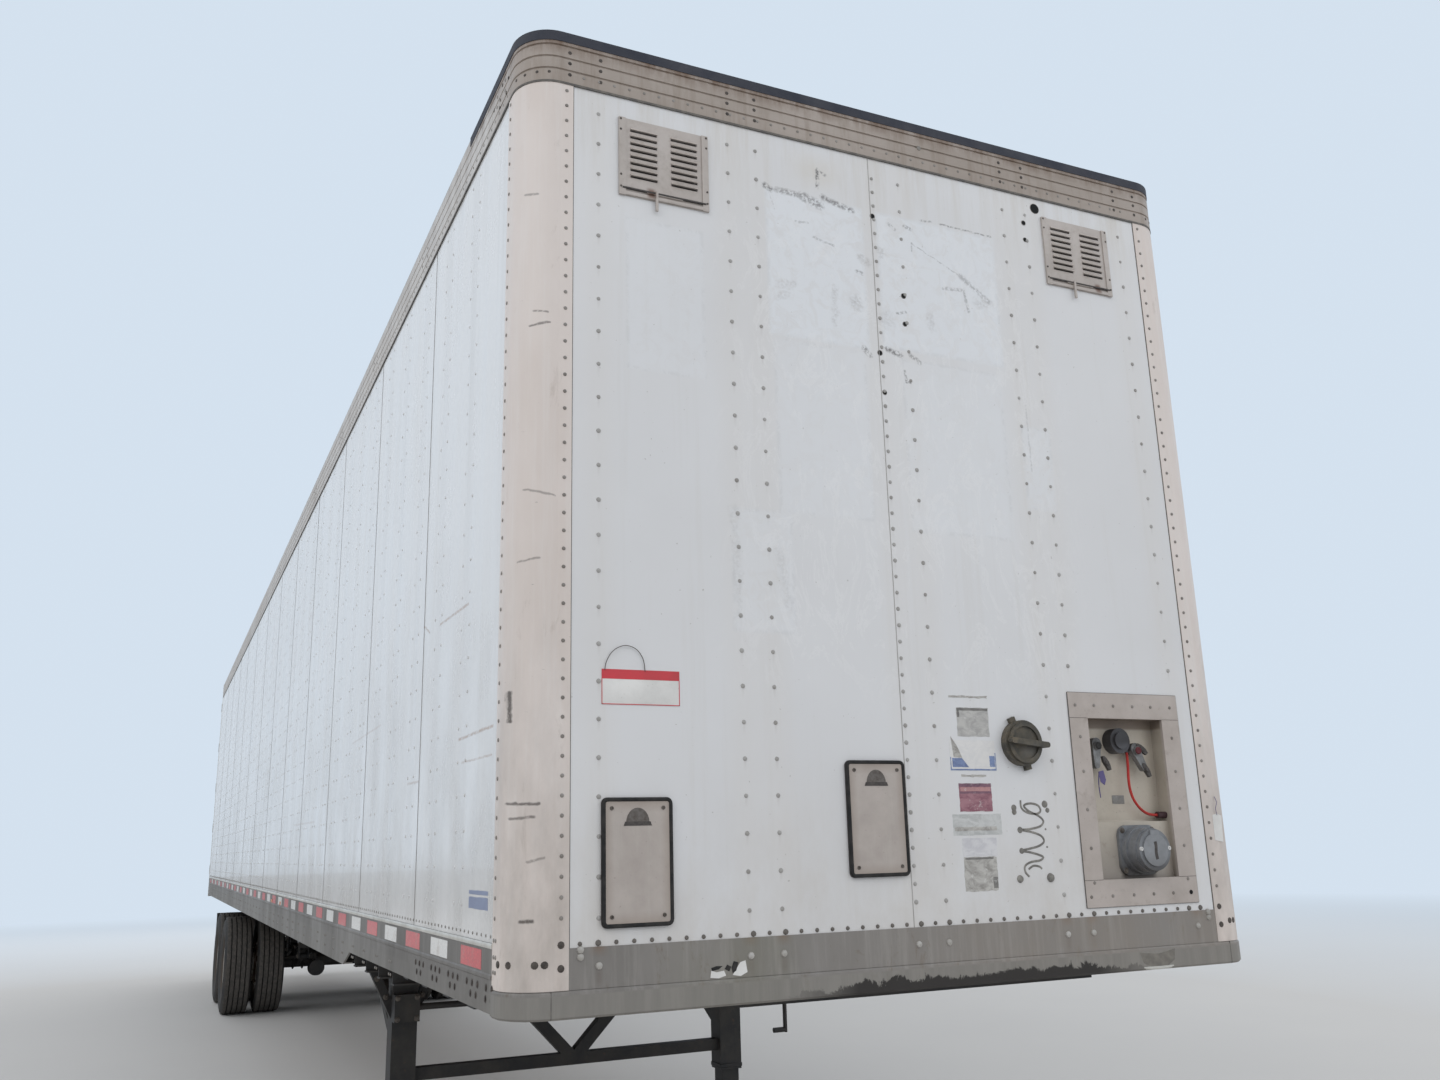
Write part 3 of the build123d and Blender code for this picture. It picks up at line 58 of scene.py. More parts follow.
# Driving places, read from the frame
HALF = high("side_rails").x
SHEET_Y = low("nose_wall").y
NOSE = SHEET_Y - 0.006
REAR = high("rear_frame").y
TOP = high("rear_frame").z
RAIL_SEAM = high("side_walls").z
SIDE_SEAM = low("side_walls").z
NOSE_SEAM = low("nose_wall").z
SIDE_START = low("side_walls").y
SIDE_END = high("side_walls").y
WALL_X = high("side_walls").x
FLOOR_TOP = high("floor_deck").z
POST_PITCH = 0.61
AXLES = [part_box("tyres_" + name + "_right") for name in ("front", "rear")]
AXLE_Y = [(lo.y + hi.y) / 2 for lo, hi in AXLES]
AXLE_Z = (AXLES[0][0].z + AXLES[0][1].z) / 2
COVERS = [(-0.94, FLOOR_TOP + 0.302), (-0.175, FLOOR_TOP + 0.406)]


# Camera: the photograph's viewing place, as a lens on a 36 mm wide sensor

IMAGE_WIDTH = 1440
FOCAL_PIXELS = 1210.4
EYE = Vector((-2.1506, NOSE - 3.1654, 1.6271))
RIGHT = Vector((0.90823, -0.41773, -0.02501))
DOWN = Vector((0.08059, 0.23323, -0.96908))
AHEAD = Vector((0.41065, 0.87812, 0.24549))


def make_camera():
    data = bpy.data.cameras.new("camera")
    data.sensor_width = 36
    data.lens = 36 * FOCAL_PIXELS / IMAGE_WIDTH
    data.clip_end = 200
    camera = bpy.data.objects.new("camera", data)
    bpy.context.scene.collection.objects.link(camera)
    turn = Matrix((RIGHT, -DOWN, -AHEAD)).transposed()
    camera.matrix_world = Matrix.Translation(EYE) @ turn.to_4x4()
    bpy.context.scene.camera = camera


make_camera()


# Marks of wear on the nose, posts and curb side, as places on their faces

CORNER_RADIUS = 0.125
BOX_X = 0.827
BOX_Z = FLOOR_TOP + 0.46
COLUMN_TOP = 3.856
COLUMN_PITCH = 0.1045
LIP_TOP = 1.268
# Columns: x0, x1, z0, z1, amount
GHOSTS = [
    (-0.472, -0.1, 3.21, 3.73, 0.85), (-0.047, 0.449, 3.23, 3.73, 0.8), (-0.46, -0.12, 2.62, 3.2, 0.35),
    (0.02, 0.43, 2.6, 3.2, 0.35), (0.5, 0.625, 2.72, 3.02, 0.5), (-0.63, -0.42, 2.24, 2.62, 0.4),
    (-0.96, -0.7, 3.02, 3.52, 0.35),
]
# Columns: first place, last place, half width, strength
SCUFFS = [
    (-0.268, 3.843, -0.272, 3.776, 0.006, 1), (-0.268, 3.839, -0.24, 3.827, 0.005, 0.7),
    (-0.472, 3.739, -0.452, 3.729, 0.009, 0.9), (-0.428, 3.731, -0.349, 3.729, 0.009, 0.7),
    (-0.332, 3.729, -0.266, 3.708, 0.014, 0.8), (-0.254, 3.741, -0.14, 3.714, 0.009, 0.8),
    (0.137, 3.736, 0.187, 3.74, 0.003, 0.6), (0.219, 3.738, 0.439, 3.734, 0.003, 0.75),
    (0.094, 3.639, 0.292, 3.551, 0.002, 0.5), (0.292, 3.551, 0.402, 3.477, 0.009, 0.5),
    (0.215, 3.49, 0.302, 3.499, 0.005, 0.45), (0.302, 3.499, 0.316, 3.421, 0.005, 0.5),
    (-0.123, 3.213, -0.101, 3.194, 0.008, 0.9), (-0.033, 3.224, 0.023, 3.211, 0.008, 0.9),
    (0.06, 3.217, 0.093, 3.196, 0.007, 0.8), (0.032, 3.155, 0.036, 3.118, 0.004, 0.8),
    (0.036, 3.118, 0.053, 3.118, 0.004, 0.8), (0.008, 3.695, 0.027, 3.679, 0.006, 0.6),
    (0.07, 3.698, 0.095, 3.693, 0.006, 0.6), (-0.36, 3.63, -0.315, 3.633, 0.004, 0.4),
    (-0.298, 3.585, -0.221, 3.569, 0.004, 0.45), (-0.134, 3.489, -0.115, 3.486, 0.006, 0.7),
    (0.095, 3.64, 0.093, 3.61, 0.003, 0.5), (0.017, 3.363, 0.052, 3.372, 0.004, 0.6),
    (-0.462, 3.729, -0.437, 3.658, 0.002, 0.4), (0.53, 3.1, 0.53, 2.86, 0.003, 0.25),
]
SMEARS = [
    (-0.121, 3.543, -0.085, 3.528, 0.012, 0.5), (-0.041, 3.586, -0.028, 3.575, 0.012, 0.5),
    (-0.148, 3.378, -0.146, 3.37, 0.022, 0.55), (-0.025, 3.342, -0.023, 3.33, 0.024, 0.35),
    (-0.224, 3.415, -0.231, 3.288, 0.01, 0.4), (0.152, 3.373, 0.152, 3.334, 0.012, 0.4),
    (-0.43, 3.39, -0.38, 3.4, 0.012, 0.35), (-0.44, 3.345, -0.4, 3.36, 0.01, 0.3),
    (-0.62, 2.62, -0.61, 2.3, 0.012, 0.25), (-0.47, 2.5, -0.44, 2.32, 0.012, 0.25),
    (0.36, 3.46, 0.41, 3.47, 0.016, 0.4),
]
POST_SCUFFS = [
    (-1.282, 2.05, -1.28, 1.97, 0.004, 0.9), (-1.28, 1.751, -1.212, 1.749, 0.0035, 0.8),
    (-1.275, 1.713, -1.225, 1.715, 0.0035, 0.7), (-1.253, 1.451, -1.227, 1.451, 0.004, 0.9),
    (-1.25, 3.12, -1.2, 3.13, 0.003, 0.7), (-1.24, 3.165, -1.205, 3.16, 0.003, 0.6),
    (-1.26, 2.62, -1.18, 2.6, 0.0025, 0.5), (-1.27, 2.41, -1.22, 2.42, 0.0025, 0.5),
    (-1.24, 1.6, -1.2, 1.61, 0.003, 0.5), (-1.265, 3.55, -1.235, 3.545, 0.003, 0.5),
]
# Columns: first place behind the nose, its height, last place, its height, half width, strength
SIDE_SCRATCHES = [
    (0.555, 2.388, 0.973, 2.392, 0.004, 0.75), (0.215, 1.973, 0.638, 1.971, 0.004, 0.8),
    (0.224, 1.893, 0.589, 1.896, 0.003, 0.6), (1.143, 2.395, 1.252, 2.435, 0.004, 0.7),
    (1.251, 1.877, 1.463, 1.88, 0.004, 0.6), (2.1, 2.16, 2.9, 2.15, 0.004, 0.4),
    (4.2, 1.82, 5.3, 1.83, 0.005, 0.4), (7.4, 2.3, 8.1, 2.29, 0.005, 0.35),
]


# Materials

# Every look, by its name
LOOKS = {}


class Look:
    """A node material on one Principled shader, with short names for the nodes that the looks use."""

    def __init__(self, name, rough=0.5, metal=0, spec=0.5, coat=0):
        self.material = bpy.data.materials.new(name)
        self.material.use_nodes = True
        self.tree = self.material.node_tree
        self.shader = self.tree.nodes["Principled BSDF"]
        self.shader.inputs["Roughness"].default_value = rough
        self.shader.inputs["Metallic"].default_value = metal
        self.shader.inputs["Specular IOR Level"].default_value = spec
        self.shader.inputs["Coat Weight"].default_value = coat
        self.place = self.node("ShaderNodeTexCoord").outputs["Object"]
        self.axes = None
        self.tone = None
        LOOKS[name] = self.material

    def node(self, kind, **values):
        node = self.tree.nodes.new(kind)
        for name, value in values.items():
            setattr(node, name, value)
        return node

    def put(self, value, socket):
        if isinstance(value, bpy.types.NodeSocket):
            self.tree.links.new(value, socket)
        else:
            socket.default_value = value

    def axis(self, name):
        if self.axes is None:
            split = self.node("ShaderNodeSeparateXYZ")
            self.put(self.place, split.inputs[0])
            self.axes = split.outputs
        return self.axes["XYZ".index(name)]

    def maths(self, operation, a, b=0, clamp=False):
        node = self.node("ShaderNodeMath", operation=operation, use_clamp=clamp)
        self.put(a, node.inputs[0])
        self.put(b, node.inputs[1])
        return node.outputs[0]

    def noise(self, scale, stretch=None, detail=4, rough=0.6, warp=0):
        node = self.node("ShaderNodeTexNoise")
        place = self.vector("MULTIPLY", self.place, stretch) if stretch else self.place
        self.put(place, node.inputs["Vector"])
        for name, value in (("Scale", scale), ("Detail", detail), ("Roughness", rough), ("Distortion", warp)):
            self.put(value, node.inputs[name])
        return node.outputs["Fac"]

    def times(self, value, *more):
        for factor in more:
            value = self.maths("MULTIPLY", value, factor)
        return value

    def less(self, a, b):
        return self.maths("SUBTRACT", a, b)

    def off(self, a, b):
        """How far two values lie apart."""
        return self.maths("ABSOLUTE", self.less(a, b))

    def steps(self, value, start, end, first=0, last=1):
        """The value, taken from start..end to first..last, and held there."""
        node = self.node("ShaderNodeMapRange", clamp=True)
        for socket, number in zip(node.inputs, (value, start, end, first, last)):
            self.put(number, socket)
        return node.outputs["Result"]

    def within(self, axis, start, end, soft=0.02):
        """1 between start and end along an axis, falling to 0 over soft."""
        up = self.steps(self.axis(axis), start - soft, start + soft)
        down = self.steps(self.axis(axis), end - soft, end + soft, 1, 0)
        return self.times(up, down)

    def patch(self, across, start, end, z0, z1, soft=0.02):
        return self.times(self.within(across, start, end, soft), self.within("Z", z0, z1, soft))

    def mix(self, amount, a, b):
        node = self.node("ShaderNodeMix", data_type="RGBA")
        self.put(amount, node.inputs[0])
        self.put(a if not isinstance(a, tuple) else (*a, 1), node.inputs[6])
        self.put(b if not isinstance(b, tuple) else (*b, 1), node.inputs[7])
        return node.outputs[2]

    def bump(self, height, strength=0.3, distance=0.002):
        node = self.node("ShaderNodeBump")
        self.put(strength, node.inputs["Strength"])
        self.put(distance, node.inputs["Distance"])
        self.put(height, node.inputs["Height"])
        previous = self.shader.inputs["Normal"].links
        if previous:
            self.put(previous[0].from_socket, node.inputs["Normal"])
        self.put(node.outputs["Normal"], self.shader.inputs["Normal"])

    def grain(self, scale, detail, strength, distance):
        self.bump(self.noise(scale, detail=detail), strength, distance)

    def colour(self, value):
        self.tone = value
        self.put(value, self.shader.inputs["Base Color"])

    def base(self, value, start, end, first, last):
        """The tone under all others, from first to last as the value goes from start to end."""
        self.colour(self.mix(self.steps(value, start, end), first, last))

    def lay(self, amount, tone):
        self.colour(self.mix(amount, self.tone, tone))

    def wash(self, value, start, end, strength, tone):
        """Lays a tone on where the value rises from start to end."""
        self.lay(self.steps(value, start, end, 0, strength), tone)

    def sheen(self, *values):
        self.put(self.steps(*values), self.shader.inputs["Roughness"])

    def vector(self, operation, a, b=None, scale=None):
        node = self.node("ShaderNodeVectorMath", operation=operation)
        self.put(a, node.inputs[0])
        if b is not None:
            self.put(b, node.inputs[1])
        if scale is not None:
            self.put(scale, node.inputs["Scale"])
        return node.outputs["Value" if operation in ("DOT_PRODUCT", "LENGTH") else "Vector"]

    def strokes(self, table, keep=(1, 0, 1), wobble=0.012, broken=(0.42, 0.56)):
        """Ragged marks along lines: rows of first place, last place, half width and strength."""
        flat = self.vector("MULTIPLY", self.place, keep)
        shake = self.node("ShaderNodeTexNoise")
        self.put(self.place, shake.inputs["Vector"])
        self.put(38, shake.inputs["Scale"])
        self.put(4, shake.inputs["Detail"])
        moved = self.vector("SUBTRACT", shake.outputs["Color"], (0.5, 0.5, 0.5))
        moved = self.vector("MULTIPLY", moved, tuple(wobble * k for k in keep))
        flat = self.vector("ADD", flat, moved)
        total = 0
        for ax, az, bx, bz, width, strength in table:
            start = (ax, 0, az) if keep[0] else (0, ax, az)
            step = (bx - ax, 0, bz - az) if keep[0] else (0, bx - ax, bz - az)
            length = max(sum(k * k for k in step), 1e-6)
            away = self.vector("SUBTRACT", flat, start)
            share = self.vector("DOT_PRODUCT", away, tuple(k / length for k in step))
            near = self.vector("SCALE", step, scale=self.maths("MULTIPLY", share, 1, True))
            distance = self.vector("LENGTH", self.vector("SUBTRACT", away, near))
            total = self.maths("MAXIMUM", self.steps(distance, width * 0.5, width * 1.6, strength, 0), total)
        gaps = self.steps(self.noise(95, detail=5, rough=0.7), *broken)
        return self.times(total, gaps)


def steel(name, base, dust, rough=0.6, metal=0, rust=0.25, scale=6):
    """Coated or bare steel with dust, spots of rust and a fine grain."""
    look = Look(name, rough, metal)
    blotch = look.noise(scale, detail=8, rough=0.65)
    look.base(blotch, 0.35, 0.7, base, dust)
    marks = look.steps(look.noise(scale * 4, detail=8, rough=0.7, warp=0.4), 0.66 - rust * 0.2, 0.74)
    look.lay(look.maths("MULTIPLY", marks, rust * 2, True), (0.16, 0.07, 0.035))
    look.sheen(blotch, 0.3, 0.8, rough - 0.08, min(rough + 0.2, 1))
    look.grain(scale * 30, 3, 0.15, 0.001)


def make_extrusion():
    """Weathered aluminium with a warm film, fine drawn lines, stains and short dark scuffs."""
    look = Look("extrusion", 0.42, 0.35)
    film = look.noise(2.2, (1, 1, 0.45), 6, 0.6)
    look.base(film, 0.3, 0.72, (0.72, 0.645, 0.6), (0.63, 0.55, 0.5))
    streak = look.noise(9, (3, 3, 0.12), 5, 0.7)
    look.wash(streak, 0.5, 0.75, 0.45, (0.73, 0.69, 0.66))
    # Brown weathering low down, in patches, and in the roll of the corner
    stain = look.noise(14, (1, 1, 0.3), 8, 0.75, 0.6)
    look.wash(stain, 0.6, 0.76, 0.4, (0.3, 0.235, 0.18))
    low_dirt = look.steps(look.axis("Z"), NOSE_SEAM, NOSE_SEAM + 1.1, 0.75, 0)
    cloud = look.noise(7, (1, 1, 0.4), 6, 0.65)
    look.lay(look.times(low_dirt, look.steps(cloud, 0.35, 0.7)), (0.36, 0.32, 0.285))
    scuff = look.noise(11, (1.6, 1.6, 9), 4, 0.75, 0.3)
    look.wash(scuff, 0.69, 0.74, 0.55, (0.12, 0.1, 0.085))
    look.lay(look.strokes(POST_SCUFFS, broken=(0.3, 0.45)), (0.1, 0.085, 0.075))
    look.sheen(film, 0.2, 0.8, 0.34, 0.58)
    look.bump(look.noise(6, (20, 20, 0.6), 2), 0.1, 0.001)


def make_rail_top():
    """The same metal drawn along the roof line, so its lines run lengthways."""
    look = Look("top_rail", 0.45, 0.3)
    film = look.noise(2, (0.5, 0.5, 2), 6, 0.6)
    look.base(film, 0.3, 0.72, (0.4, 0.345, 0.305), (0.31, 0.262, 0.225))
    run = look.noise(8, (2.6, 2.6, 0.3), 6, 0.7)
    look.wash(run, 0.48, 0.76, 0.7, (0.22, 0.17, 0.13))
    # Paler along the sides, where less weather settles
    behind = look.steps(look.axis("Y"), NOSE + 0.12, NOSE + 0.45)
    pale = look.mix(look.steps(run, 0.42, 0.7), (0.6, 0.575, 0.55), (0.44, 0.41, 0.385))
    look.lay(look.times(behind, 0.8), pale)
    # Brown tar runs down from the roofing's edge, darkened further by painted shade under it
    edge = look.steps(look.axis("Z"), TOP - 0.085, TOP - 0.03, 0, 1)
    tar_and_shade = look.noise(16, (1.6, 1.6, 0.5), 6, 0.7)
    ahead = look.steps(look.axis("Y"), NOSE + 0.66, NOSE + 0.75, 1, 0.15)
    tar_and_shade = look.times(edge, ahead, look.steps(tar_and_shade, 0.34, 0.62))
    look.lay(tar_and_shade, (0.14, 0.085, 0.055))
    look.sheen(film, 0.2, 0.8, 0.34, 0.6)
    look.grain(40, 3, 0.08, 0.001)


def make_nose_sheet():
    """Gloss white sheet with patches of cleaner film, glue, grime and small holes."""
    look = Look("nose_sheet", 0.36, 0, 0.5)
    broad = look.noise(0.9, detail=5, rough=0.55)
    look.base(broad, 0.3, 0.7, (0.655, 0.665, 0.685), (0.605, 0.61, 0.625))
    streak = look.noise(7, (3, 3, 0.1), 5, 0.65)
    look.wash(streak, 0.55, 0.8, 0.3, (0.54, 0.525, 0.5))
    # A warmer tone along the riveted lines, and the drip that each rivet leaves
    across = look.maths("ABSOLUTE", look.axis("X"))
    fall = look.maths("FRACT", look.maths("DIVIDE", look.less(COLUMN_TOP, look.axis("Z")), COLUMN_PITCH))
    fall = look.steps(fall, 0, 0.36, 0.2, 0)
    for column in (1.049, 0.606, 0.503, 0.0535):
        off = look.off(across, column)
        look.lay(look.steps(off, 0.015, 0.075, 0.22, 0), (0.6, 0.575, 0.545))
        drip = look.times(look.steps(off, 0.001, 0.006, 1, 0), fall)
        look.lay(drip, (0.3, 0.27, 0.24))
    # Grime gathers low on the sheet and just under the top rail
    grime = look.noise(5, (1, 1, 0.5), 7, 0.65)
    foot = look.steps(look.axis("Z"), NOSE_SEAM, NOSE_SEAM + 0.5, 0.6, 0)
    look.lay(look.times(foot, look.steps(grime, 0.35, 0.75)), (0.46, 0.42, 0.37))
    head = look.steps(look.axis("Z"), RAIL_SEAM - 0.35, RAIL_SEAM, 0, 0.55)
    runs = look.noise(10, (2, 2, 0.15), 6, 0.7)
    look.lay(look.times(head, look.steps(runs, 0.45, 0.75)), (0.48, 0.44, 0.38))
    halo = look.patch("X", -0.36, -0.2, 3.79, 3.86, 0.05)
    look.lay(look.times(halo, look.steps(grime, 0.3, 0.6, 0.1, 0.5)), (0.52, 0.46, 0.36))
    # The patches of film: faintly bluer and cleaner, with a dull edge
    ragged = look.noise(16, detail=6, rough=0.7, warp=1.2)
    for x0, x1, z0, z1, amount in GHOSTS:
        area = look.patch("X", x0, x1, z0, z1, 0.006)
        inner = look.patch("X", x0 + 0.008, x1 - 0.008, z0 + 0.008, z1 - 0.008, 0.006)
        clean = look.times(area, look.steps(ragged, 0.4, 0.52, amount * 0.35, amount))
        look.lay(clean, (0.665, 0.69, 0.725))
        rim = look.maths("SUBTRACT", area, inner, True)
        rim = look.times(rim, look.steps(ragged, 0.48, 0.56, 0, 0.35))
        look.lay(rim, (0.47, 0.47, 0.475))
    rub = look.noise(9, (1, 1, 0.45), 7, 0.75, 1.6)
    middle = look.patch("X", -0.62, 0.64, 2.1, 3.65, 0.12)
    thin = look.maths("SUBTRACT", look.steps(rub, 0.54, 0.57), look.steps(rub, 0.58, 0.62), True)
    look.lay(look.times(middle, look.times(thin, 0.3)), (0.74, 0.745, 0.755))
    soft = look.strokes(SMEARS, wobble=0.05, broken=(0.36, 0.62))
    look.lay(soft, (0.36, 0.35, 0.345))
    look.lay(look.strokes(SCUFFS), (0.17, 0.165, 0.165))
    dots = look.noise(75, detail=2, rough=0.6)
    look.wash(dots, 0.74, 0.78, 0.5, (0.24, 0.22, 0.2))
    look.sheen(grime, 0.3, 0.8, 0.28, 0.5)
    look.bump(look.noise(2.6, (1, 1, 0.35), 2), 0.25, 0.006)


def make_side_sheet():
    """White side sheet, quilted between its posts, with scratches and runs."""
    look = Look("side_sheet", 0.22, 0, 0.5, 0.2)
    broad = look.noise(0.6, (1, 0.6, 1), 5, 0.55)
    look.base(broad, 0.3, 0.7, (0.7, 0.71, 0.725), (0.645, 0.65, 0.66))
    streak = look.noise(6, (2, 2.6, 0.09), 5, 0.65)
    look.wash(streak, 0.52, 0.8, 0.4, (0.51, 0.495, 0.47))
    foot = look.steps(look.axis("Z"), SIDE_SEAM, SIDE_SEAM + 1.3, 0.85, 0)
    grime = look.noise(4, (1, 1, 0.5), 7, 0.65)
    look.lay(look.times(foot, look.steps(grime, 0.3, 0.75)), (0.37, 0.36, 0.34))
    # A dull band of painted reflection over each post behind the sheet, one in each bay
    bay = look.maths("FRACT", look.maths("DIVIDE", look.less(look.axis("Y"), NOSE + 0.389), 0.4064))
    bay = look.off(bay, 0.5)
    look.lay(look.steps(bay, 0.06, 0.16, 0.16, 0), (0.5, 0.5, 0.505))
    curb = look.steps(look.axis("X"), -0.5, 0.5, 1, 0)
    scratches = [(NOSE + a, z0, NOSE + b, z1, *rest) for a, z0, b, z1, *rest in SIDE_SCRATCHES]
    marks = look.strokes(scratches, (0, 1, 1), 0.008, (0.36, 0.5))
    look.lay(look.times(marks, curb), (0.32, 0.21, 0.14))
    scratch = look.noise(5, (1, 0.7, 14), 4, 0.7, 0.5)
    look.wash(scratch, 0.725, 0.75, 0.5, (0.36, 0.27, 0.2))
    look.sheen(grime, 0.3, 0.8, 0.16, 0.36)
    look.bump(look.steps(bay, 0, 0.5), 0.35, 0.006)
    look.bump(look.noise(1, (0.3, 6, 0.45), 2, 0.5), 0.6, 0.014)


def make_band():
    """Galvanised band with upright runs and rust-brown stains."""
    look = Look("band", 0.5, 0.4)
    film = look.noise(3, (1, 1, 0.4), 7, 0.65)
    look.base(film, 0.3, 0.7, (0.255, 0.238, 0.222), (0.185, 0.172, 0.158))
    runs = look.noise(14, (2, 2, 0.12), 6, 0.7)
    look.wash(runs, 0.5, 0.72, 0.5, (0.38, 0.36, 0.335))
    spots = look.noise(22, (1, 1, 0.35), 8, 0.75, 0.5)
    look.wash(spots, 0.58, 0.72, 0.8, (0.165, 0.125, 0.09))
    # Stains under each of the band's bolts, and rust on the band's upper edge above them
    across = look.maths("ABSOLUTE", look.axis("X"))
    below = look.within("Z", 1.285, 1.325, 0.012)
    for column in (1.049, 0.606, 0.503):
        off = look.off(across, column)
        stain = look.times(look.steps(off, 0.003, 0.014, 0.35, 0), below)
        look.lay(stain, (0.13, 0.1, 0.08))
        rust = look.times(look.steps(off, 0.004, 0.03, 0.55, 0), look.within("Z", 1.366, 1.4, 0.012))
        look.lay(rust, (0.2, 0.13, 0.085))
    # A greener film left of the middle and a browner one to the right
    across = look.axis("X")
    patchy = look.steps(film, 0.25, 0.6)
    green = look.times(look.within("X", -0.86, -0.47, 0.05), look.times(patchy, 0.45))
    look.lay(green, (0.225, 0.215, 0.165))
    brown = look.times(look.steps(across, -0.45, 0.15), look.times(patchy, 0.4))
    look.lay(brown, (0.36, 0.31, 0.265))
    lip = look.steps(look.axis("Z"), LIP_TOP - 0.004, LIP_TOP, 1, 0)
    pale = look.mix(look.steps(runs, 0.4, 0.7), (0.265, 0.25, 0.226), (0.195, 0.183, 0.166))
    look.lay(look.times(lip, 0.75), pale)
    # A near-black ragged band eats into the lip's lower edge
    reach = look.within("X", -0.4, 0.74, 0.13)
    ragged = look.noise(17, (1, 1, 0.6), 8, 0.72, 0.8)
    level = look.less(look.axis("Z"), LIP_TOP - 0.059)
    level = look.maths("ADD", level, look.times(look.less(ragged, 0.5), 0.1))
    level = look.less(level, look.times(reach, 0.03))
    dark_ragged_edge = look.times(look.steps(level, -0.002, 0.004, 0.95, 0), reach)
    look.lay(dark_ragged_edge, (0.026, 0.022, 0.02))
    # The rails are darker along the sides
    flank = look.steps(look.maths("ABSOLUTE", across), HALF - 0.012, HALF - 0.006)
    flank = look.times(flank, look.steps(look.axis("Y"), NOSE + 0.1, NOSE + 0.3))
    look.lay(look.times(flank, look.steps(film, 0.2, 0.7, 0.35, 0.7)), (0.115, 0.105, 0.095))
    look.sheen(film, 0.3, 0.8, 0.38, 0.65)
    look.grain(60, 3, 0.12, 0.001)


def make_roofing():
    look = Look("roofing", 0.72)
    cloud = look.noise(7, detail=6, rough=0.65)
    look.base(cloud, 0.3, 0.75, (0.02, 0.023, 0.035), (0.055, 0.055, 0.065))
    look.grain(45, 5, 0.35, 0.002)


def make_rubber(name, base, dust, scale=9):
    look = Look(name, 0.75, 0, 0.35)
    cloud = look.noise(scale, detail=7, rough=0.65)
    look.base(cloud, 0.42, 0.75, base, dust)
    look.sheen(cloud, 0.3, 0.8, 0.62, 0.92)
    look.grain(scale * 20, 3, 0.2, 0.001)


def make_plate(name, base, worn, rough=0.5, metal=0.2):
    """Painted or plain plate: a soft cloud of wear, fine dirt dots and small dents."""
    look = Look(name, rough, metal)
    cloud = look.noise(8, detail=7, rough=0.65)
    look.base(cloud, 0.35, 0.72, base, worn)
    dots = look.noise(140, detail=2)
    look.wash(dots, 0.7, 0.76, 0.55, (0.13, 0.11, 0.09))
    look.sheen(cloud, 0.3, 0.8, rough - 0.08, rough + 0.15)
    look.grain(26, 3, 0.15, 0.001)


def make_wood():
    """Laminated hardwood strips along the floor, scuffed by pallets."""
    look = Look("floor_wood", 0.55)
    board = look.maths("FLOOR", look.times(look.axis("X"), 28))
    tone = look.node("ShaderNodeTexWhiteNoise", noise_dimensions="1D")
    look.put(board, tone.inputs["W"])
    grain = look.noise(5, (9, 0.5, 1), 6, 0.6, 0.4)
    look.tone = look.mix(tone.outputs["Value"], (0.33, 0.2, 0.105), (0.45, 0.3, 0.17))
    look.wash(grain, 0.4, 0.75, 0.6, (0.2, 0.115, 0.06))
    scuffs = look.noise(9, (2.5, 0.4, 1), 6, 0.75, 0.5)
    look.wash(scuffs, 0.62, 0.72, 0.6, (0.06, 0.05, 0.045))
    look.bump(grain, 0.2, 0.002)


def make_lens(name, colour, dull):
    look = Look(name, 0.18, 0, 0.5, 0.5)
    cloud = look.noise(30, detail=3)
    look.base(cloud, 0.3, 0.8, colour, dull)
    ribs = look.node("ShaderNodeTexWave", wave_type="BANDS", bands_direction="X")
    look.put(look.place, ribs.inputs["Vector"])
    look.put(60, ribs.inputs["Scale"])
    look.bump(ribs.outputs["Fac"], 0.4, 0.002)


def make_tape(name, bright, dull):
    """Retroreflective tape: a fine cell pattern under a dirty, worn face."""
    look = Look(name, 0.35, 0, 0.6, 0.3)
    cells = look.node("ShaderNodeTexVoronoi")
    look.put(look.place, cells.inputs["Vector"])
    look.put(160, cells.inputs["Scale"])
    wear = look.noise(18, detail=6, rough=0.7)
    look.base(cells.outputs["Distance"], 0.1, 0.7, bright, dull)
    look.wash(wear, 0.55, 0.75, 0.55, (0.33, 0.27, 0.23))


def make_label(name, base, print_colour):
    """A blank worn sticker: faded film and patches rubbed through."""
    look = Look(name, 0.5)
    cloud = look.noise(22, (1, 1, 1.6), 7, 0.7, 0.8)
    look.base(cloud, 0.42, 0.6, base, print_colour)
    rubbed = look.noise(60, detail=6, rough=0.75)
    look.wash(rubbed, 0.58, 0.7, 0.6, (0.62, 0.62, 0.61))
    look.sheen(cloud, 0.3, 0.7, 0.35, 0.65)
    look.bump(rubbed, 0.1, 0.0005)


def make_cover():
    """A grey-tan plate in front of its black rubber gasket."""
    look = Look("cover", 0.5, 0.1)
    cloud = look.noise(8, detail=7, rough=0.65)
    plate = look.mix(look.steps(cloud, 0.35, 0.72), (0.45, 0.405, 0.375), (0.37, 0.33, 0.305))
    runs = look.noise(16, (2, 2, 0.2), 6, 0.7)
    plate = look.mix(look.steps(runs, 0.5, 0.75, 0, 0.5), plate, (0.46, 0.43, 0.4))
    dots = look.noise(120, detail=3)
    plate = look.mix(look.steps(dots, 0.68, 0.76, 0, 0.6), plate, (0.15, 0.12, 0.1))
    ahead = look.steps(look.axis("Y"), SHEET_Y - 0.0068, SHEET_Y - 0.0062, 1, 0)
    # Dirt has settled along the plate's edges
    for x, z in COVERS:
        across = look.steps(look.off(look.axis("X"), x), 0.066, 0.093)
        rise = look.steps(look.off(look.axis("Z"), z), 0.128, 0.16)
        here = look.patch("X", x - 0.11, x + 0.11, z - 0.18, z + 0.18, 0.002)
        edge = look.times(look.maths("MAXIMUM", across, rise), look.times(here, 0.5))
        plate = look.mix(edge, plate, (0.26, 0.205, 0.165))
    look.colour(look.mix(ahead, (0.028, 0.022, 0.022), plate))
    look.sheen(cloud, 0.3, 0.8, 0.42, 0.65)
    look.grain(26, 3, 0.15, 0.001)


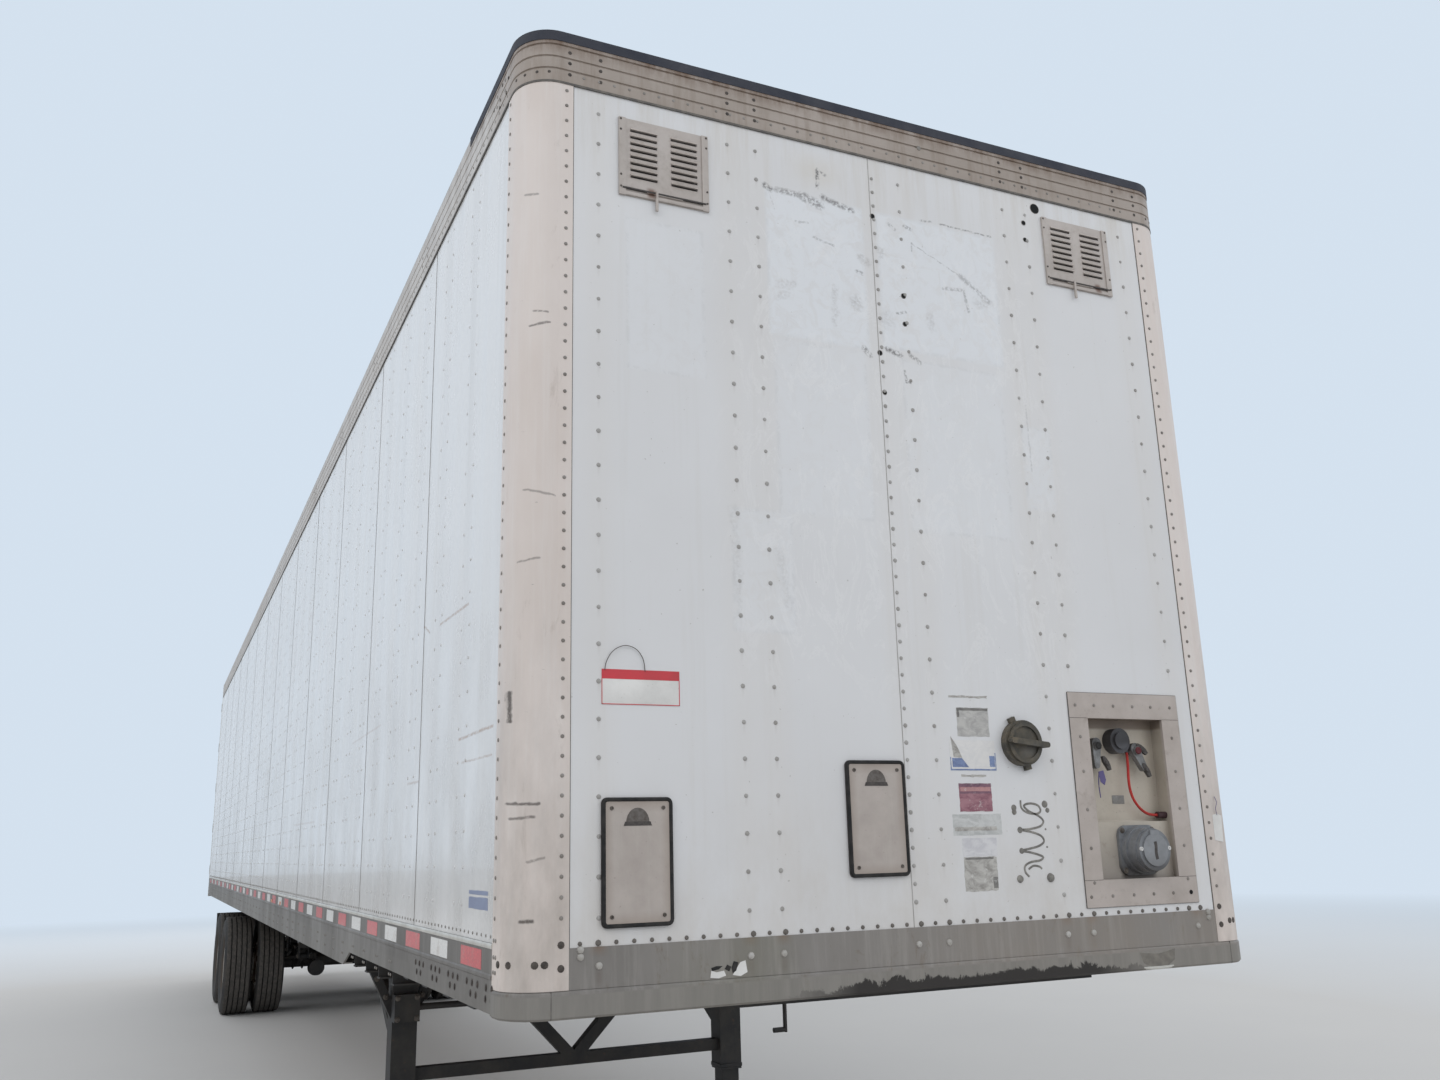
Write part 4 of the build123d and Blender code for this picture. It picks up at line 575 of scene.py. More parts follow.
def make_vent():
    """The vent plates: grey-tan paint with rust at each lever's head."""
    look = Look("vent_metal", 0.48, 0.2)
    cloud = look.noise(8, detail=7, rough=0.65)
    look.base(cloud, 0.35, 0.72, (0.475, 0.43, 0.4), (0.39, 0.35, 0.32))
    edge = look.steps(look.noise(30, detail=5, rough=0.7), 0.52, 0.68, 0, 0.35)
    look.lay(edge, (0.3, 0.255, 0.22))
    for x in (-0.876, 0.918):
        head = look.patch("X", x - 0.012, x + 0.012, 3.597, 3.63, 0.006)
        look.lay(look.times(head, 0.8), (0.13, 0.055, 0.03))
    look.sheen(cloud, 0.3, 0.8, 0.42, 0.62)
    look.grain(26, 3, 0.15, 0.001)


def make_couplings():
    """Cast brake couplings: a greasy dark filter body, painted shade over their top and dark ends on the
    hands.
    """
    look = Look("couplings", 0.5, 0.45)
    cloud = look.noise(22, detail=6, rough=0.7)
    look.base(cloud, 0.38, 0.68, (0.25, 0.25, 0.25), (0.1, 0.095, 0.09))
    body = look.patch("X", 0.765, 0.855, 1.895, 1.99, 0.003)
    look.lay(look.times(body, 0.85), (0.06, 0.058, 0.064))
    # Painted shade over the top of the couplings, under the box's top edge
    look.lay(look.times(look.steps(look.axis("Z"), 1.92, 1.935), 0.6), (0.035, 0.032, 0.032))
    fitting = look.times(look.steps(look.axis("X"), 0.895, 0.905), look.steps(look.axis("Z"), 1.8, 1.78))
    look.lay(fitting, (0.065, 0.035, 0.038))
    look.sheen(cloud, 0.3, 0.8, 0.4, 0.7)
    look.grain(90, 4, 0.2, 0.001)


def make_socket():
    """The grey power socket: paler on its ring, with painted shade over its lower part."""
    look = Look("socket", 0.45, 0.3)
    cloud = look.noise(20, detail=7, rough=0.7)
    look.base(cloud, 0.35, 0.7, (0.235, 0.245, 0.26), (0.14, 0.145, 0.155))
    # Painted shade over the lower part of the socket
    painted_shade_under = look.steps(look.axis("Z"), BOX_Z - 0.245, BOX_Z - 0.175, 0.85, 0)
    look.lay(painted_shade_under, (0.06, 0.052, 0.048))
    ring = look.times(look.steps(look.axis("Y"), NOSE - 0.0625, NOSE - 0.06, 1, 0), 0.35)
    look.lay(ring, (0.33, 0.335, 0.345))
    look.sheen(cloud, 0.3, 0.8, 0.38, 0.62)
    look.grain(60, 4, 0.2, 0.001)


def make_cap():
    """The tube's cap: dark cast plastic with olive and brown weathering."""
    look = Look("cap", 0.6)
    cloud = look.noise(20, detail=7, rough=0.7)
    look.base(cloud, 0.35, 0.68, (0.042, 0.04, 0.034), (0.115, 0.1, 0.075))
    left = look.steps(look.axis("X"), 0.3, 0.36, 0.5, 0)
    look.lay(look.times(left, look.steps(cloud, 0.45, 0.6)), (0.2, 0.155, 0.1))
    face = look.patch("X", 0.365, 0.415, FLOOR_TOP + 0.59, FLOOR_TOP + 0.622, 0.012)
    look.lay(look.times(face, 0.5), (0.15, 0.145, 0.135))
    look.sheen(cloud, 0.3, 0.8, 0.5, 0.78)
    look.grain(70, 4, 0.25, 0.001)


def make_rear_white(name, base, worn, rough=0.36):
    """White rear faces: upright dirt runs, spray grime rising from the road and rust under the hinges."""
    look = Look(name, rough)
    broad = look.noise(0.9, (1, 1, 0.6), 5, 0.55)
    look.base(broad, 0.3, 0.7, base, worn)
    runs = look.noise(9, (3, 1, 0.07), 6, 0.65)
    look.wash(runs, 0.5, 0.78, 0.42, (0.5, 0.485, 0.46))
    spray = look.noise(5, (1, 1, 0.5), 7, 0.65)
    low_dirt = look.steps(look.axis("Z"), low("rear_frame").z, low("rear_frame").z + 1.5, 0.9, 0)
    look.lay(look.times(low_dirt, look.steps(spray, 0.3, 0.72)), (0.36, 0.335, 0.3))
    hinge = look.steps(look.maths("ABSOLUTE", look.axis("X")), 1.08, 1.2)
    rust = look.noise(14, (2, 1, 0.2), 6, 0.75)
    look.lay(look.times(hinge, look.steps(rust, 0.58, 0.7, 0, 0.55)), (0.34, 0.2, 0.12))
    dots = look.noise(110, detail=2)
    look.wash(dots, 0.72, 0.77, 0.5, (0.22, 0.19, 0.16))
    look.sheen(spray, 0.3, 0.8, 0.3, 0.52)
    look.bump(look.noise(1.6, (1, 1, 0.4), 2), 0.25, 0.006)


def make_roof():
    """Mill aluminium roof: each bow shows through as a soft ridge, with water marks between."""
    look = Look("roof_metal", 0.5, 0.55)
    broad = look.noise(1.1, (1, 0.6, 1), 6, 0.6)
    look.base(broad, 0.3, 0.7, (0.6, 0.605, 0.61), (0.5, 0.5, 0.49))
    pools = look.noise(3.2, (1, 0.5, 1), 7, 0.65, 0.8)
    look.wash(pools, 0.52, 0.68, 0.5, (0.4, 0.39, 0.37))
    bow = look.maths("DIVIDE", look.less(look.axis("Y"), SIDE_START), POST_PITCH)
    bow = look.off(look.maths("FRACT", bow), 0.5)
    look.lay(look.steps(bow, 0.03, 0.1, 0.3, 0), (0.36, 0.345, 0.32))
    edge = look.steps(look.maths("ABSOLUTE", look.axis("X")), HALF - 0.16, HALF - 0.03, 0, 0.55)
    look.lay(look.times(edge, look.steps(pools, 0.35, 0.6)), (0.3, 0.285, 0.26))
    look.sheen(pools, 0.3, 0.8, 0.42, 0.62)
    look.bump(look.steps(bow, 0, 0.14, 1, 0), 0.5, 0.01)
    look.bump(look.noise(1.3, (1, 0.8, 1), 2), 0.45, 0.012)


def make_box_metal():
    """The connection box: a dull beige frame, a yellower back, darker towards its foot, and painted shadow
    under its top edge and under the socket.
    """
    look = Look("box_metal", 0.5, 0.15)
    cloud = look.noise(7, detail=7, rough=0.65)
    frame_colour = look.mix(look.steps(cloud, 0.35, 0.72), (0.465, 0.415, 0.385), (0.38, 0.335, 0.305))
    back = look.mix(look.steps(cloud, 0.35, 0.72), (0.5, 0.455, 0.39), (0.42, 0.375, 0.315))
    behind = look.steps(look.axis("Y"), SHEET_Y + 0.002, SHEET_Y + 0.01)
    look.tone = look.mix(behind, frame_colour, back)
    deep = look.times(behind, look.steps(look.axis("Z"), BOX_Z - 0.26, BOX_Z - 0.05, 0.7, 0))
    look.lay(deep, (0.26, 0.235, 0.22))
    # Painted shadow on the back under the box's top edge
    painted_shade_under = look.times(behind, look.steps(look.axis("Z"), BOX_Z + 0.226, BOX_Z + 0.234, 0, 0.75))
    look.lay(painted_shade_under, (0.15, 0.105, 0.08))
    beside = look.times(behind, look.steps(look.axis("X"), BOX_X + 0.118, BOX_X + 0.15, 0, 0.35))
    look.lay(beside, (0.2, 0.165, 0.13))
    # Painted shadow on the back under the socket
    painted_shadow_under_socket = look.times(behind, look.patch("X", BOX_X - 0.06, BOX_X + 0.08, BOX_Z - 0.262, BOX_Z - 0.24, 0.01))
    look.lay(look.times(painted_shadow_under_socket, 0.85), (0.045, 0.03, 0.022))
    grime = look.noise(18, detail=7, rough=0.7)
    look.wash(grime, 0.58, 0.72, 0.45, (0.22, 0.18, 0.15))
    dots = look.noise(140, detail=2)
    look.wash(dots, 0.7, 0.76, 0.5, (0.13, 0.11, 0.09))
    look.sheen(cloud, 0.3, 0.8, 0.42, 0.65)
    look.grain(26, 3, 0.15, 0.001)


def radius_from(look, y, z):
    """The distance from a wheel's axle, in a look."""
    away = look.less(look.axis("Y"), y)
    rise = look.less(look.axis("Z"), z)
    total = look.maths("ADD", look.times(away, away), look.times(rise, rise))
    return look.maths("SQRT", total)


def make_tyre(name, y):
    """Rubber with a scrubbed, dusty tread, dark grooves and brown dust on the sidewalls."""
    look = Look(name, 0.78, 0, 0.3)
    radius = radius_from(look, y, AXLE_Z)
    cloud = look.noise(9, detail=7, rough=0.65)
    look.base(cloud, 0.38, 0.75, (0.02, 0.02, 0.021), (0.06, 0.054, 0.048))
    tread = look.steps(radius, 0.4975, 0.501)
    scrub = look.noise(30, detail=6, rough=0.7)
    look.lay(tread, look.mix(look.steps(scrub, 0.35, 0.7), (0.05, 0.048, 0.046), (0.105, 0.095, 0.085)))
    bead_dust = look.steps(radius, 0.3, 0.345, 0.5, 0)
    look.lay(bead_dust, (0.11, 0.085, 0.065))
    look.sheen(cloud, 0.3, 0.8, 0.66, 0.92)
    look.grain(180, 3, 0.2, 0.001)
    look.bump(look.maths("SINE", look.times(radius, 1900)), 0.1, 0.0006)


def make_rim(name, y):
    """White painted steel with rust round its holes and nuts; the drum and hub are bare castings."""
    look = Look(name, 0.45)
    radius = radius_from(look, y, AXLE_Z)
    cloud = look.noise(8, detail=7, rough=0.65)
    look.base(cloud, 0.35, 0.72, (0.6, 0.595, 0.58), (0.42, 0.395, 0.36))
    spots = look.noise(26, detail=8, rough=0.75, warp=0.5)
    near_nuts = look.less(1, look.steps(look.off(radius, 0.143), 0.02, 0.06))
    rust = look.times(look.steps(spots, 0.48, 0.66), look.maths("ADD", look.times(near_nuts, 0.6), 0.25))
    look.lay(rust, (0.19, 0.085, 0.04))
    dust = look.steps(radius, 0.235, 0.3, 0, 0.45)
    look.lay(dust, (0.16, 0.135, 0.11))
    iron = look.mix(look.steps(spots, 0.35, 0.65), (0.13, 0.075, 0.045), (0.065, 0.05, 0.04))
    across = look.maths("ABSOLUTE", look.axis("X"))
    inner = look.times(look.steps(across, 0.9735, 0.9745, 1, 0), look.steps(radius, 0.211, 0.214, 1, 0))
    look.lay(inner, iron)
    hub = look.steps(radius, 0.0785, 0.08, 1, 0)
    casting = look.mix(look.steps(cloud, 0.35, 0.7), (0.2, 0.195, 0.185), (0.09, 0.08, 0.07))
    look.lay(hub, casting)
    look.sheen(cloud, 0.3, 0.8, 0.36, 0.62)
    look.grain(60, 3, 0.15, 0.001)


make_extrusion()
make_rail_top()
make_nose_sheet()
make_side_sheet()
make_band()
make_roofing()
make_wood()
make_roof()
make_vent()
make_box_metal()
make_cover()
make_cap()
make_couplings()
make_socket()
# Columns: name, tone, dust, then roughness, metal, rust and scale
for values in (
    ("frame_steel", (0.012, 0.012, 0.013), (0.055, 0.05, 0.045), 0.62, 0, 0.22),
    ("galvanised", (0.46, 0.46, 0.45), (0.34, 0.33, 0.31), 0.45, 0.6, 0.2, 10),
    ("nut", (0.17, 0.15, 0.13), (0.08, 0.065, 0.055), 0.5, 0.6, 0.35, 40),
    ("foot_bolt", (0.12, 0.108, 0.097), (0.2, 0.18, 0.16), 0.55, 0.4, 0.3, 60),
    ("dark_bolt", (0.05, 0.042, 0.037), (0.14, 0.12, 0.105), 0.55, 0.5, 0.3, 60),
    ("kingpin", (0.2, 0.185, 0.17), (0.05, 0.04, 0.035), 0.35, 0.9, 0.3, 20),
):
    steel(*values)
# Columns: name, tone, worn tone, roughness
for values in (
    ("door_white", (0.74, 0.75, 0.755), (0.69, 0.695, 0.7)),
    ("rear_white", (0.68, 0.685, 0.685), (0.61, 0.605, 0.595), 0.42),
):
    make_rear_white(*values)
# Columns: name, tone, dust, scale
for values in (
    ("gasket", (0.012, 0.012, 0.012), (0.045, 0.042, 0.04), 30),
    ("flap", (0.016, 0.016, 0.017), (0.06, 0.055, 0.05)),
    ("seam_pale", (0.36, 0.35, 0.34), (0.27, 0.26, 0.25), 12),
    ("mark_worn", (0.135, 0.125, 0.118), (0.075, 0.062, 0.055), 90),
    ("hose", (0.42, 0.035, 0.03), (0.27, 0.03, 0.027), 60),
    ("sealant", (0.1, 0.095, 0.09), (0.2, 0.185, 0.165), 40),
    ("glue", (0.15, 0.145, 0.135), (0.32, 0.31, 0.285), 45),
    ("seal_maroon", (0.11, 0.022, 0.028), (0.07, 0.03, 0.03), 60),
    ("lip_shade", (0.15, 0.14, 0.125), (0.24, 0.225, 0.2), 35),
    ("mark_dark", (0.055, 0.05, 0.048), (0.11, 0.1, 0.095), 60),
    ("black", (0.004, 0.004, 0.004), (0.012, 0.011, 0.01), 60),
):
    make_rubber(*values)
# Columns: name, place of its axle
for values in (
    ("tyre_front", AXLE_Y[0]),
    ("tyre_rear", AXLE_Y[1]),
):
    make_tyre(*values)
# Columns: name, place of its axle
for values in (
    ("rim_front", AXLE_Y[0]),
    ("rim_rear", AXLE_Y[1]),
):
    make_rim(*values)
# Columns: name, tone, worn tone, roughness, metal
for values in (
    ("cap_metal", (0.38, 0.38, 0.375), (0.2, 0.19, 0.17), 0.35, 0.7),
    ("rivet", (0.3, 0.275, 0.25), (0.17, 0.15, 0.13), 0.45, 0.5),
    ("rivet_dull", (0.4, 0.39, 0.375), (0.27, 0.255, 0.235), 0.5, 0.3),
    ("band_bolt", (0.46, 0.445, 0.42), (0.27, 0.25, 0.22), 0.45, 0.3),
    ("paper", (0.7, 0.7, 0.69), (0.55, 0.55, 0.54), 0.55, 0),
    ("rivet_white", (0.66, 0.665, 0.67), (0.46, 0.45, 0.43), 0.38, 0.1),
    ("strip_bright", (0.66, 0.65, 0.61), (0.48, 0.46, 0.42), 0.36, 0.5),
    ("sign_red", (0.58, 0.045, 0.06), (0.42, 0.05, 0.06), 0.45, 0),
    ("label_side", (0.16, 0.19, 0.3), (0.24, 0.28, 0.39), 0.5, 0),
    ("tag_blue", (0.075, 0.06, 0.17), (0.12, 0.1, 0.21), 0.5, 0),
):
    make_plate(*values)
# Columns: name, bright tone, dull tone
for values in (
    ("lens_red", (0.42, 0.008, 0.008), (0.25, 0.006, 0.006)),
    ("lens_amber", (0.72, 0.2, 0.015), (0.5, 0.13, 0.01)),
):
    make_lens(*values)
# Columns: name, bright tone, dull tone
for values in (
    ("tape_red", (0.62, 0.03, 0.04), (0.42, 0.02, 0.03)),
    ("tape_white", (0.74, 0.74, 0.73), (0.58, 0.58, 0.57)),
):
    make_tape(*values)
# Columns: name, tone, tone of the faded patches
for values in (
    ("label_grey", (0.52, 0.53, 0.53), (0.4, 0.41, 0.41)),
    ("label_pale", (0.6, 0.6, 0.62), (0.5, 0.5, 0.53)),
    ("label_silver", (0.45, 0.44, 0.42), (0.26, 0.25, 0.235)),
    ("label_white", (0.66, 0.655, 0.65), (0.61, 0.61, 0.615)),
    ("label_worn", (0.46, 0.455, 0.44), (0.34, 0.335, 0.33)),
    ("label_worn_dark", (0.2, 0.195, 0.185), (0.13, 0.125, 0.12)),
    ("label_maroon", (0.33, 0.17, 0.2), (0.22, 0.09, 0.12)),
    ("label_band", (0.2, 0.105, 0.14), (0.13, 0.07, 0.1)),
    ("label_deep", (0.19, 0.25, 0.42), (0.13, 0.17, 0.3)),
    ("label_rose", (0.45, 0.24, 0.24), (0.36, 0.2, 0.21)),
):
    make_label(*values)

# CAD nodes and the look each one wears
DRESS = {
    "extrusion": ["corner_posts"],
    "top_rail": ["top_rails", "nose_top_rail"],
    "nose_sheet": ["nose_wall"],
    "side_sheet": ["side_walls"],
    "band": ["nose_bottom_rail", "side_rails"],
    "roofing": ["roof_cap"],
    "floor_wood": ["floor_deck"],
    "frame_steel": [
        "crossmembers", "coupler_plate", "landing_legs", "landing_brace", "landing_crank", "slider_rails",
        "slider_frame", "spring_hangers", "leaf_springs", "axles", "brake_gear",
    ],
    "door_white": ["door_left_leaf", "door_right_leaf"],
    "rear_white": ["rear_frame", "rear_guard"],
    "galvanised": ["rear_fittings", "roof_bows", "door_left_hardware", "door_right_hardware"],
    "roof_metal": ["roof_sheet"],
    "vent_metal": ["nose_vents"],
    "box_metal": ["connection_box"],
    "cover": ["nose_covers"],
    "gasket": ["dock_bumpers"],
    "flap": ["mud_flaps"],
    "rim_front": ["rims_front_left", "rims_front_right"],
    "rim_rear": ["rims_rear_left", "rims_rear_right"],
    "tyre_front": ["tyres_front_left", "tyres_front_right"],
    "tyre_rear": ["tyres_rear_left", "tyres_rear_right"],
    "cap": ["document_tube"],
    "couplings": ["gladhands"],
    "socket": ["power_receptacle"],
    "hose": ["supply_hose"],
    "lens_red": ["lamps_red"],
    "lens_amber": ["side_markers"],
    "kingpin": ["kingpin"],
}


def dress_nodes():
    for look, names in DRESS.items():
        for name in names:
            data = nodes[name].data
            if not data.materials:
                data.materials.append(None)
            for index in range(len(data.materials)):
                data.materials[index] = LOOKS[look]


dress_nodes()


# The red hose: its control points are the route of the CAD tube

BOX_TOP = BOX_Z + 0.26
BOX_BACK = SHEET_Y + 0.052
HOSE_RADIUS = 0.0045
HOSE_START = Vector((BOX_X + 0.021, BOX_BACK - 0.024, BOX_TOP - 0.072))
HOSE_ROUTE = [
    (0, 0, -0.038), (0, 0, -0.062), (-0.003, -0.002, -0.092), (-0.009, -0.005, -0.124),
    (-0.011, -0.008, -0.158), (-0.003, -0.009, -0.19), (0.018, -0.008, -0.218), (0.046, -0.005, -0.237),
    (0.078, 0, -0.246), (0.104, 0, -0.246),
]


def make_hose():
    data = bpy.data.curves.new("supply_hose_curve", "CURVE")
    data.dimensions = "3D"
    data.bevel_depth = HOSE_RADIUS
    data.bevel_resolution = 5
    data.resolution_u = 10
    spline = data.splines.new("NURBS")
    spline.points.add(len(HOSE_ROUTE) - 1)
    for point, step in zip(spline.points, HOSE_ROUTE):
        point.co = (*(HOSE_START + Vector(step)), 1)
    spline.order_u = 3
    spline.use_endpoint_u = True
    hose = bpy.data.objects.new("hose", data)
    bpy.context.scene.collection.objects.link(hose)
    data.materials.append(LOOKS["hose"])
    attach(hose, "van")
    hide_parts("supply_hose")


make_hose()


# Shapes: lists of vertices and faces around a local +Z, stamped many times into one mesh

UP = Vector((0, 0, 1))
ACROSS = Vector((1, 0, 0))


def around(count, phase=0):
    """Directions in the local X-Y plane, spread evenly round +Z."""
    turns = [2 * math.pi * (k + phase) / count for k in range(count)]
    return [Vector((math.cos(turn), math.sin(turn), 0)) for turn in turns]


def circle(radius, count):
    """Stations round a circle, for a closed sweep."""
    return [(out * radius, out, UP) for out in around(count)]


def stack(levels, sides):
    """Rings of (radius, height) joined upwards and closed at both ends."""
    verts = [out * radius + UP * z for radius, z in levels for out in around(sides)]
    faces = []
    for level in range(len(levels) - 1):
        a = level * sides
        for k in range(sides):
            n = (k + 1) % sides
            faces.append((a + k, a + n, a + sides + n, a + sides + k))
    last = (len(levels) - 1) * sides
    faces.append(tuple(range(sides))[::-1])
    faces.append(tuple(range(last, last + sides)))
    return verts, faces


def joined(*shapes):
    verts, faces = [], []
    for shape_verts, shape_faces in shapes:
        base = len(verts)
        verts += shape_verts
        faces += [tuple(base + i for i in face) for face in shape_faces]
    return verts, faces


def dome(radius, height, sides=8):
    return stack([(radius, -0.001), (radius * 0.82, height * 0.62), (radius * 0.3, height)], sides)


def hex_bolt(radius, height):
    washer = stack(
        [(radius * 1.45, -0.001), (radius * 1.45, height * 0.18), (radius * 1.38, height * 0.24)], 12,
    )
    head = stack([(radius, height * 0.2), (radius, height * 0.86), (radius * 0.86, height)], 6)
    return joined(washer, head)


def screw(radius, height):
    """A pan head with a sunk middle."""
    return stack(
        [(radius, -0.001), (radius * 0.9, height), (radius * 0.45, height), (radius * 0.3, height * 0.4)], 10,
    )


def bent(shape, place):
    return [place @ v for v in shape[0]], shape[1]


def rounded(x0, x1, y0, y1, z0, z1, radius=0.002, segments=2):
    """A box with rounded edges."""
    mesh = bmesh.new()
    bmesh.ops.create_cube(mesh, size=1)
    for vert in mesh.verts:
        vert.co = Vector((
            (x0 + x1) / 2 + vert.co.x * abs(x1 - x0), (y0 + y1) / 2 + vert.co.y * abs(y1 - y0),
            (z0 + z1) / 2 + vert.co.z * abs(z1 - z0),
        ))
    radius = min(radius, 0.45 * min(abs(x1 - x0), abs(y1 - y0), abs(z1 - z0)))
    bmesh.ops.bevel(
        mesh, geom=mesh.edges[:], offset=radius, segments=segments, affect="EDGES", profile=0.5,
        clamp_overlap=True,
    )
    mesh.verts.index_update()
    shape = [v.co.copy() for v in mesh.verts], [tuple(v.index for v in face.verts) for face in mesh.faces]
    mesh.free()
    return shape


def swept(line, section, closed=False):
    """A closed section of (out, up) pairs carried along (place, outward, upward) stations."""
    verts = [place + outward * out + upward * up for place, outward, upward in line for out, up in section]
    size = len(section)
    faces = []
    for station in range(len(line) - (0 if closed else 1)):
        a = station * size
        b = (station + 1) % len(line) * size
        for k in range(size):
            n = (k + 1) % size
            faces.append((a + k, a + n, b + n, b + k))
    if not closed:
        faces.append(tuple(range(size))[::-1])
        faces.append(tuple(range(len(verts) - size, len(verts))))
    return verts, faces


def outlined(points, thick):
    """A flat plate from its outline, thick along local Z."""
    count = len(points)
    verts = [Vector((x, y, -0.0005)) for x, y in points] + [Vector((x, y, thick)) for x, y in points]
    faces = [tuple(range(count))[::-1], tuple(range(count, 2 * count))]
    faces += [(k, (k + 1) % count, count + (k + 1) % count, count + k) for k in range(count)]
    return verts, faces


FACES = {
    "front": Matrix.Rotation(math.pi / 2, 4, "X"),
    "rear": Matrix.Rotation(-math.pi / 2, 4, "X"),
    "curb": Matrix.Rotation(-math.pi / 2, 4, "Y"),
    "road": Matrix.Rotation(math.pi / 2, 4, "Y"),
    "up": Matrix.Identity(4),
    "down": Matrix.Rotation(math.pi, 4, "X"),
}
SIDES = {-1: "curb", 1: "road"}


def at(face, x, y, z, turn=0, size=1):
    """A place on a face: local +Z points out of it."""
    scale = Matrix.Diagonal((size, size, size, 1))
    return Matrix.Translation((x, y, z)) @ FACES[face] @ Matrix.Rotation(turn, 4, "Z") @ scale


def flank(side, x, y, z, turn=0, size=1):
    """A place on the outer face of one side, at x from the middle."""
    return at(SIDES[side], side * x, y, z, turn, size)


def piece(name, shape, look, body="van", places=None, smooth=40):
    """A mesh object from a shape, or from many copies of it, riding on a body."""
    verts, faces = shape
    if places is not None:
        verts, faces = joined(*[bent(shape, place) for place in places])
    mesh = bpy.data.meshes.new(name)
    mesh.from_pydata([tuple(v) for v in verts], [], faces)
    edit = bmesh.new()
    edit.from_mesh(mesh)
    bmesh.ops.recalc_face_normals(edit, faces=edit.faces[:])
    edit.to_mesh(mesh)
    edit.free()
    mesh.materials.append(LOOKS[look])
    if smooth:
        mesh.shade_smooth()
        mesh.set_sharp_from_angle(angle=math.radians(smooth))
    result = bpy.data.objects.new(name, mesh)
    bpy.context.scene.collection.objects.link(result)
    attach(result, body)
    return result


def wrap_line(inset, back, z, steps=10, reach=1):
    """Stations along one side, round both nose corners and back along the other side."""
    radius = CORNER_RADIUS - inset
    centre_x = HALF - CORNER_RADIUS
    centre_y = NOSE + CORNER_RADIUS
    line = []
    if back > centre_y:
        line.append((Vector((-HALF + inset, back, z)), -ACROSS, UP))
    for side in (-1, 1):
        for k in range(steps + 1):
            turn = math.pi / 2 * (k / steps if side > 0 else 1 - k / steps)
            out = Vector((side * math.sin(turn), -math.cos(turn), 0))
            line.append((Vector((side * centre_x, centre_y, z)) + out * radius, out, UP))
    if back > centre_y:
        line.append((Vector((HALF - inset, back, z)), ACROSS, UP))
    return line


def on_corner(side, turn, z, inset=0):
    """A place on the rounded nose corner, turn degrees round from straight ahead."""
    angle = math.radians(turn)
    out = Vector((side * math.sin(angle), -math.cos(angle), 0))
    centre = Vector((side * (HALF - CORNER_RADIUS), NOSE + CORNER_RADIUS, z))
    place = centre + out * (CORNER_RADIUS - inset)
    return Matrix.Translation(place) @ out.to_track_quat("Z", "Y").to_matrix().to_4x4()


def run(start, end, pitch):
    """Places from start towards end, pitch apart."""
    count = int(round((end - start) / pitch + 0.499))
    return [start + k * pitch for k in range(count + 1) if start + k * pitch <= end + 1e-6]


def smooth_line(points, steps=6):
    """Points on a curve that passes through the given ones."""
    result = []
    ends = [points[0]] + list(points) + [points[-1]]
    for group in zip(ends, ends[1:], ends[2:], ends[3:]):
        a, b, c, d = (Vector(point) for point in group)
        square, cube = 2 * a - 5 * b + 4 * c - d, 3 * b - a - 3 * c + d
        for t in (k / steps for k in range(steps)):
            result.append(tuple(b + ((c - a) * t + square * t ** 2 + cube * t ** 3) / 2))
    result.append(tuple(points[-1]))
    return result


def bead(points, width, height):
    """A low rounded bead along (x, y) points, flat on local Z = 0."""
    line = []
    for k, point in enumerate(points):
        before = points[max(k - 1, 0)]
        after = points[min(k + 1, len(points) - 1)]
        along = Vector((after[0] - before[0], after[1] - before[1], 0))
        along = along.normalized() if along.length else ACROSS
        line.append((Vector((point[0], point[1], 0)), Vector((-along.y, along.x, 0)), UP))
    half = width / 2
    return swept(
        line, [(-half, -0.0005), (half, -0.0005), (half * 0.6, height * 0.8), (-half * 0.6, height * 0.8)],
    )


def tube(points, radius, sides=8):
    """A round wire or pipe through 3-D points."""
    line = []
    for k, point in enumerate(points):
        along = Vector(points[min(k + 1, len(points) - 1)]) - Vector(points[max(k - 1, 0)])
        quat = along.to_track_quat("Z", "Y")
        line.append((Vector(point), quat @ ACROSS, quat @ Vector((0, 1, 0))))
    return swept(line, [(out.x * radius, out.y * radius) for out in around(sides)])


# Nose

POST_EDGE = HALF - 0.164
POST_COLUMN = 1.153
POST_RIVET_PITCH = 0.0522
NOSE_COLUMNS = [s * x for x in (1.049, 0.606, 0.503, 0.0535) for s in (-1, 1)]
LAP_COLUMN = -0.0535
EDGE_PITCH = 0.0505
SHEET_WIDTH = 1.2192
SIDE_POST_PITCH = 0.4064
BEAM_PITCH = 0.305
RAIL_ROW_Z = 3.967
VENT = (0.831, 3.727)
CAP_PLACE = (0.377, FLOOR_TOP + 0.633)


def covered(x, z):
    """True where another fitting lies over the nose sheet."""
    if abs(abs(x) - VENT[0]) < 0.16 and abs(z - VENT[1]) < 0.145:
        return True
    if abs(x - BOX_X) < 0.245 and abs(z - BOX_Z) < 0.352:
        return True
    if (x - CAP_PLACE[0]) ** 2 + (z - CAP_PLACE[1]) ** 2 < 0.09 ** 2:
        return True
    return any(abs(x - cx) < 0.103 and abs(z - cz) < 0.17 for cx, cz in COVERS)


def make_nose_rivets():
    chance = random.Random(3)
    places = []
    for x in NOSE_COLUMNS:
        # The lap of the two sheets is riveted twice as closely
        pitch = COLUMN_PITCH / 2 if x == LAP_COLUMN else COLUMN_PITCH
        z = COLUMN_TOP
        while z > NOSE_SEAM + 0.03:
            if not covered(x, z):
                places.append(at("front", x, SHEET_Y, z, size=chance.uniform(0.9, 1.1)))
            z -= pitch
    piece("nose_rivets", dome(0.0072, 0.003), "rivet_dull", places=places)
    # The close row that holds the sheet's foot to the band, larger where a post is behind
    foot = []
    for x in run(-1.101, 1.102, EDGE_PITCH):
        big = min(abs(x - column) for column in NOSE_COLUMNS) < 0.03
        foot.append(at("front", x, SHEET_Y, NOSE_SEAM + 0.009, size=1.35 if big else 1))
    piece("nose_foot_rivets", dome(0.0066, 0.0042), "foot_bolt", places=foot)


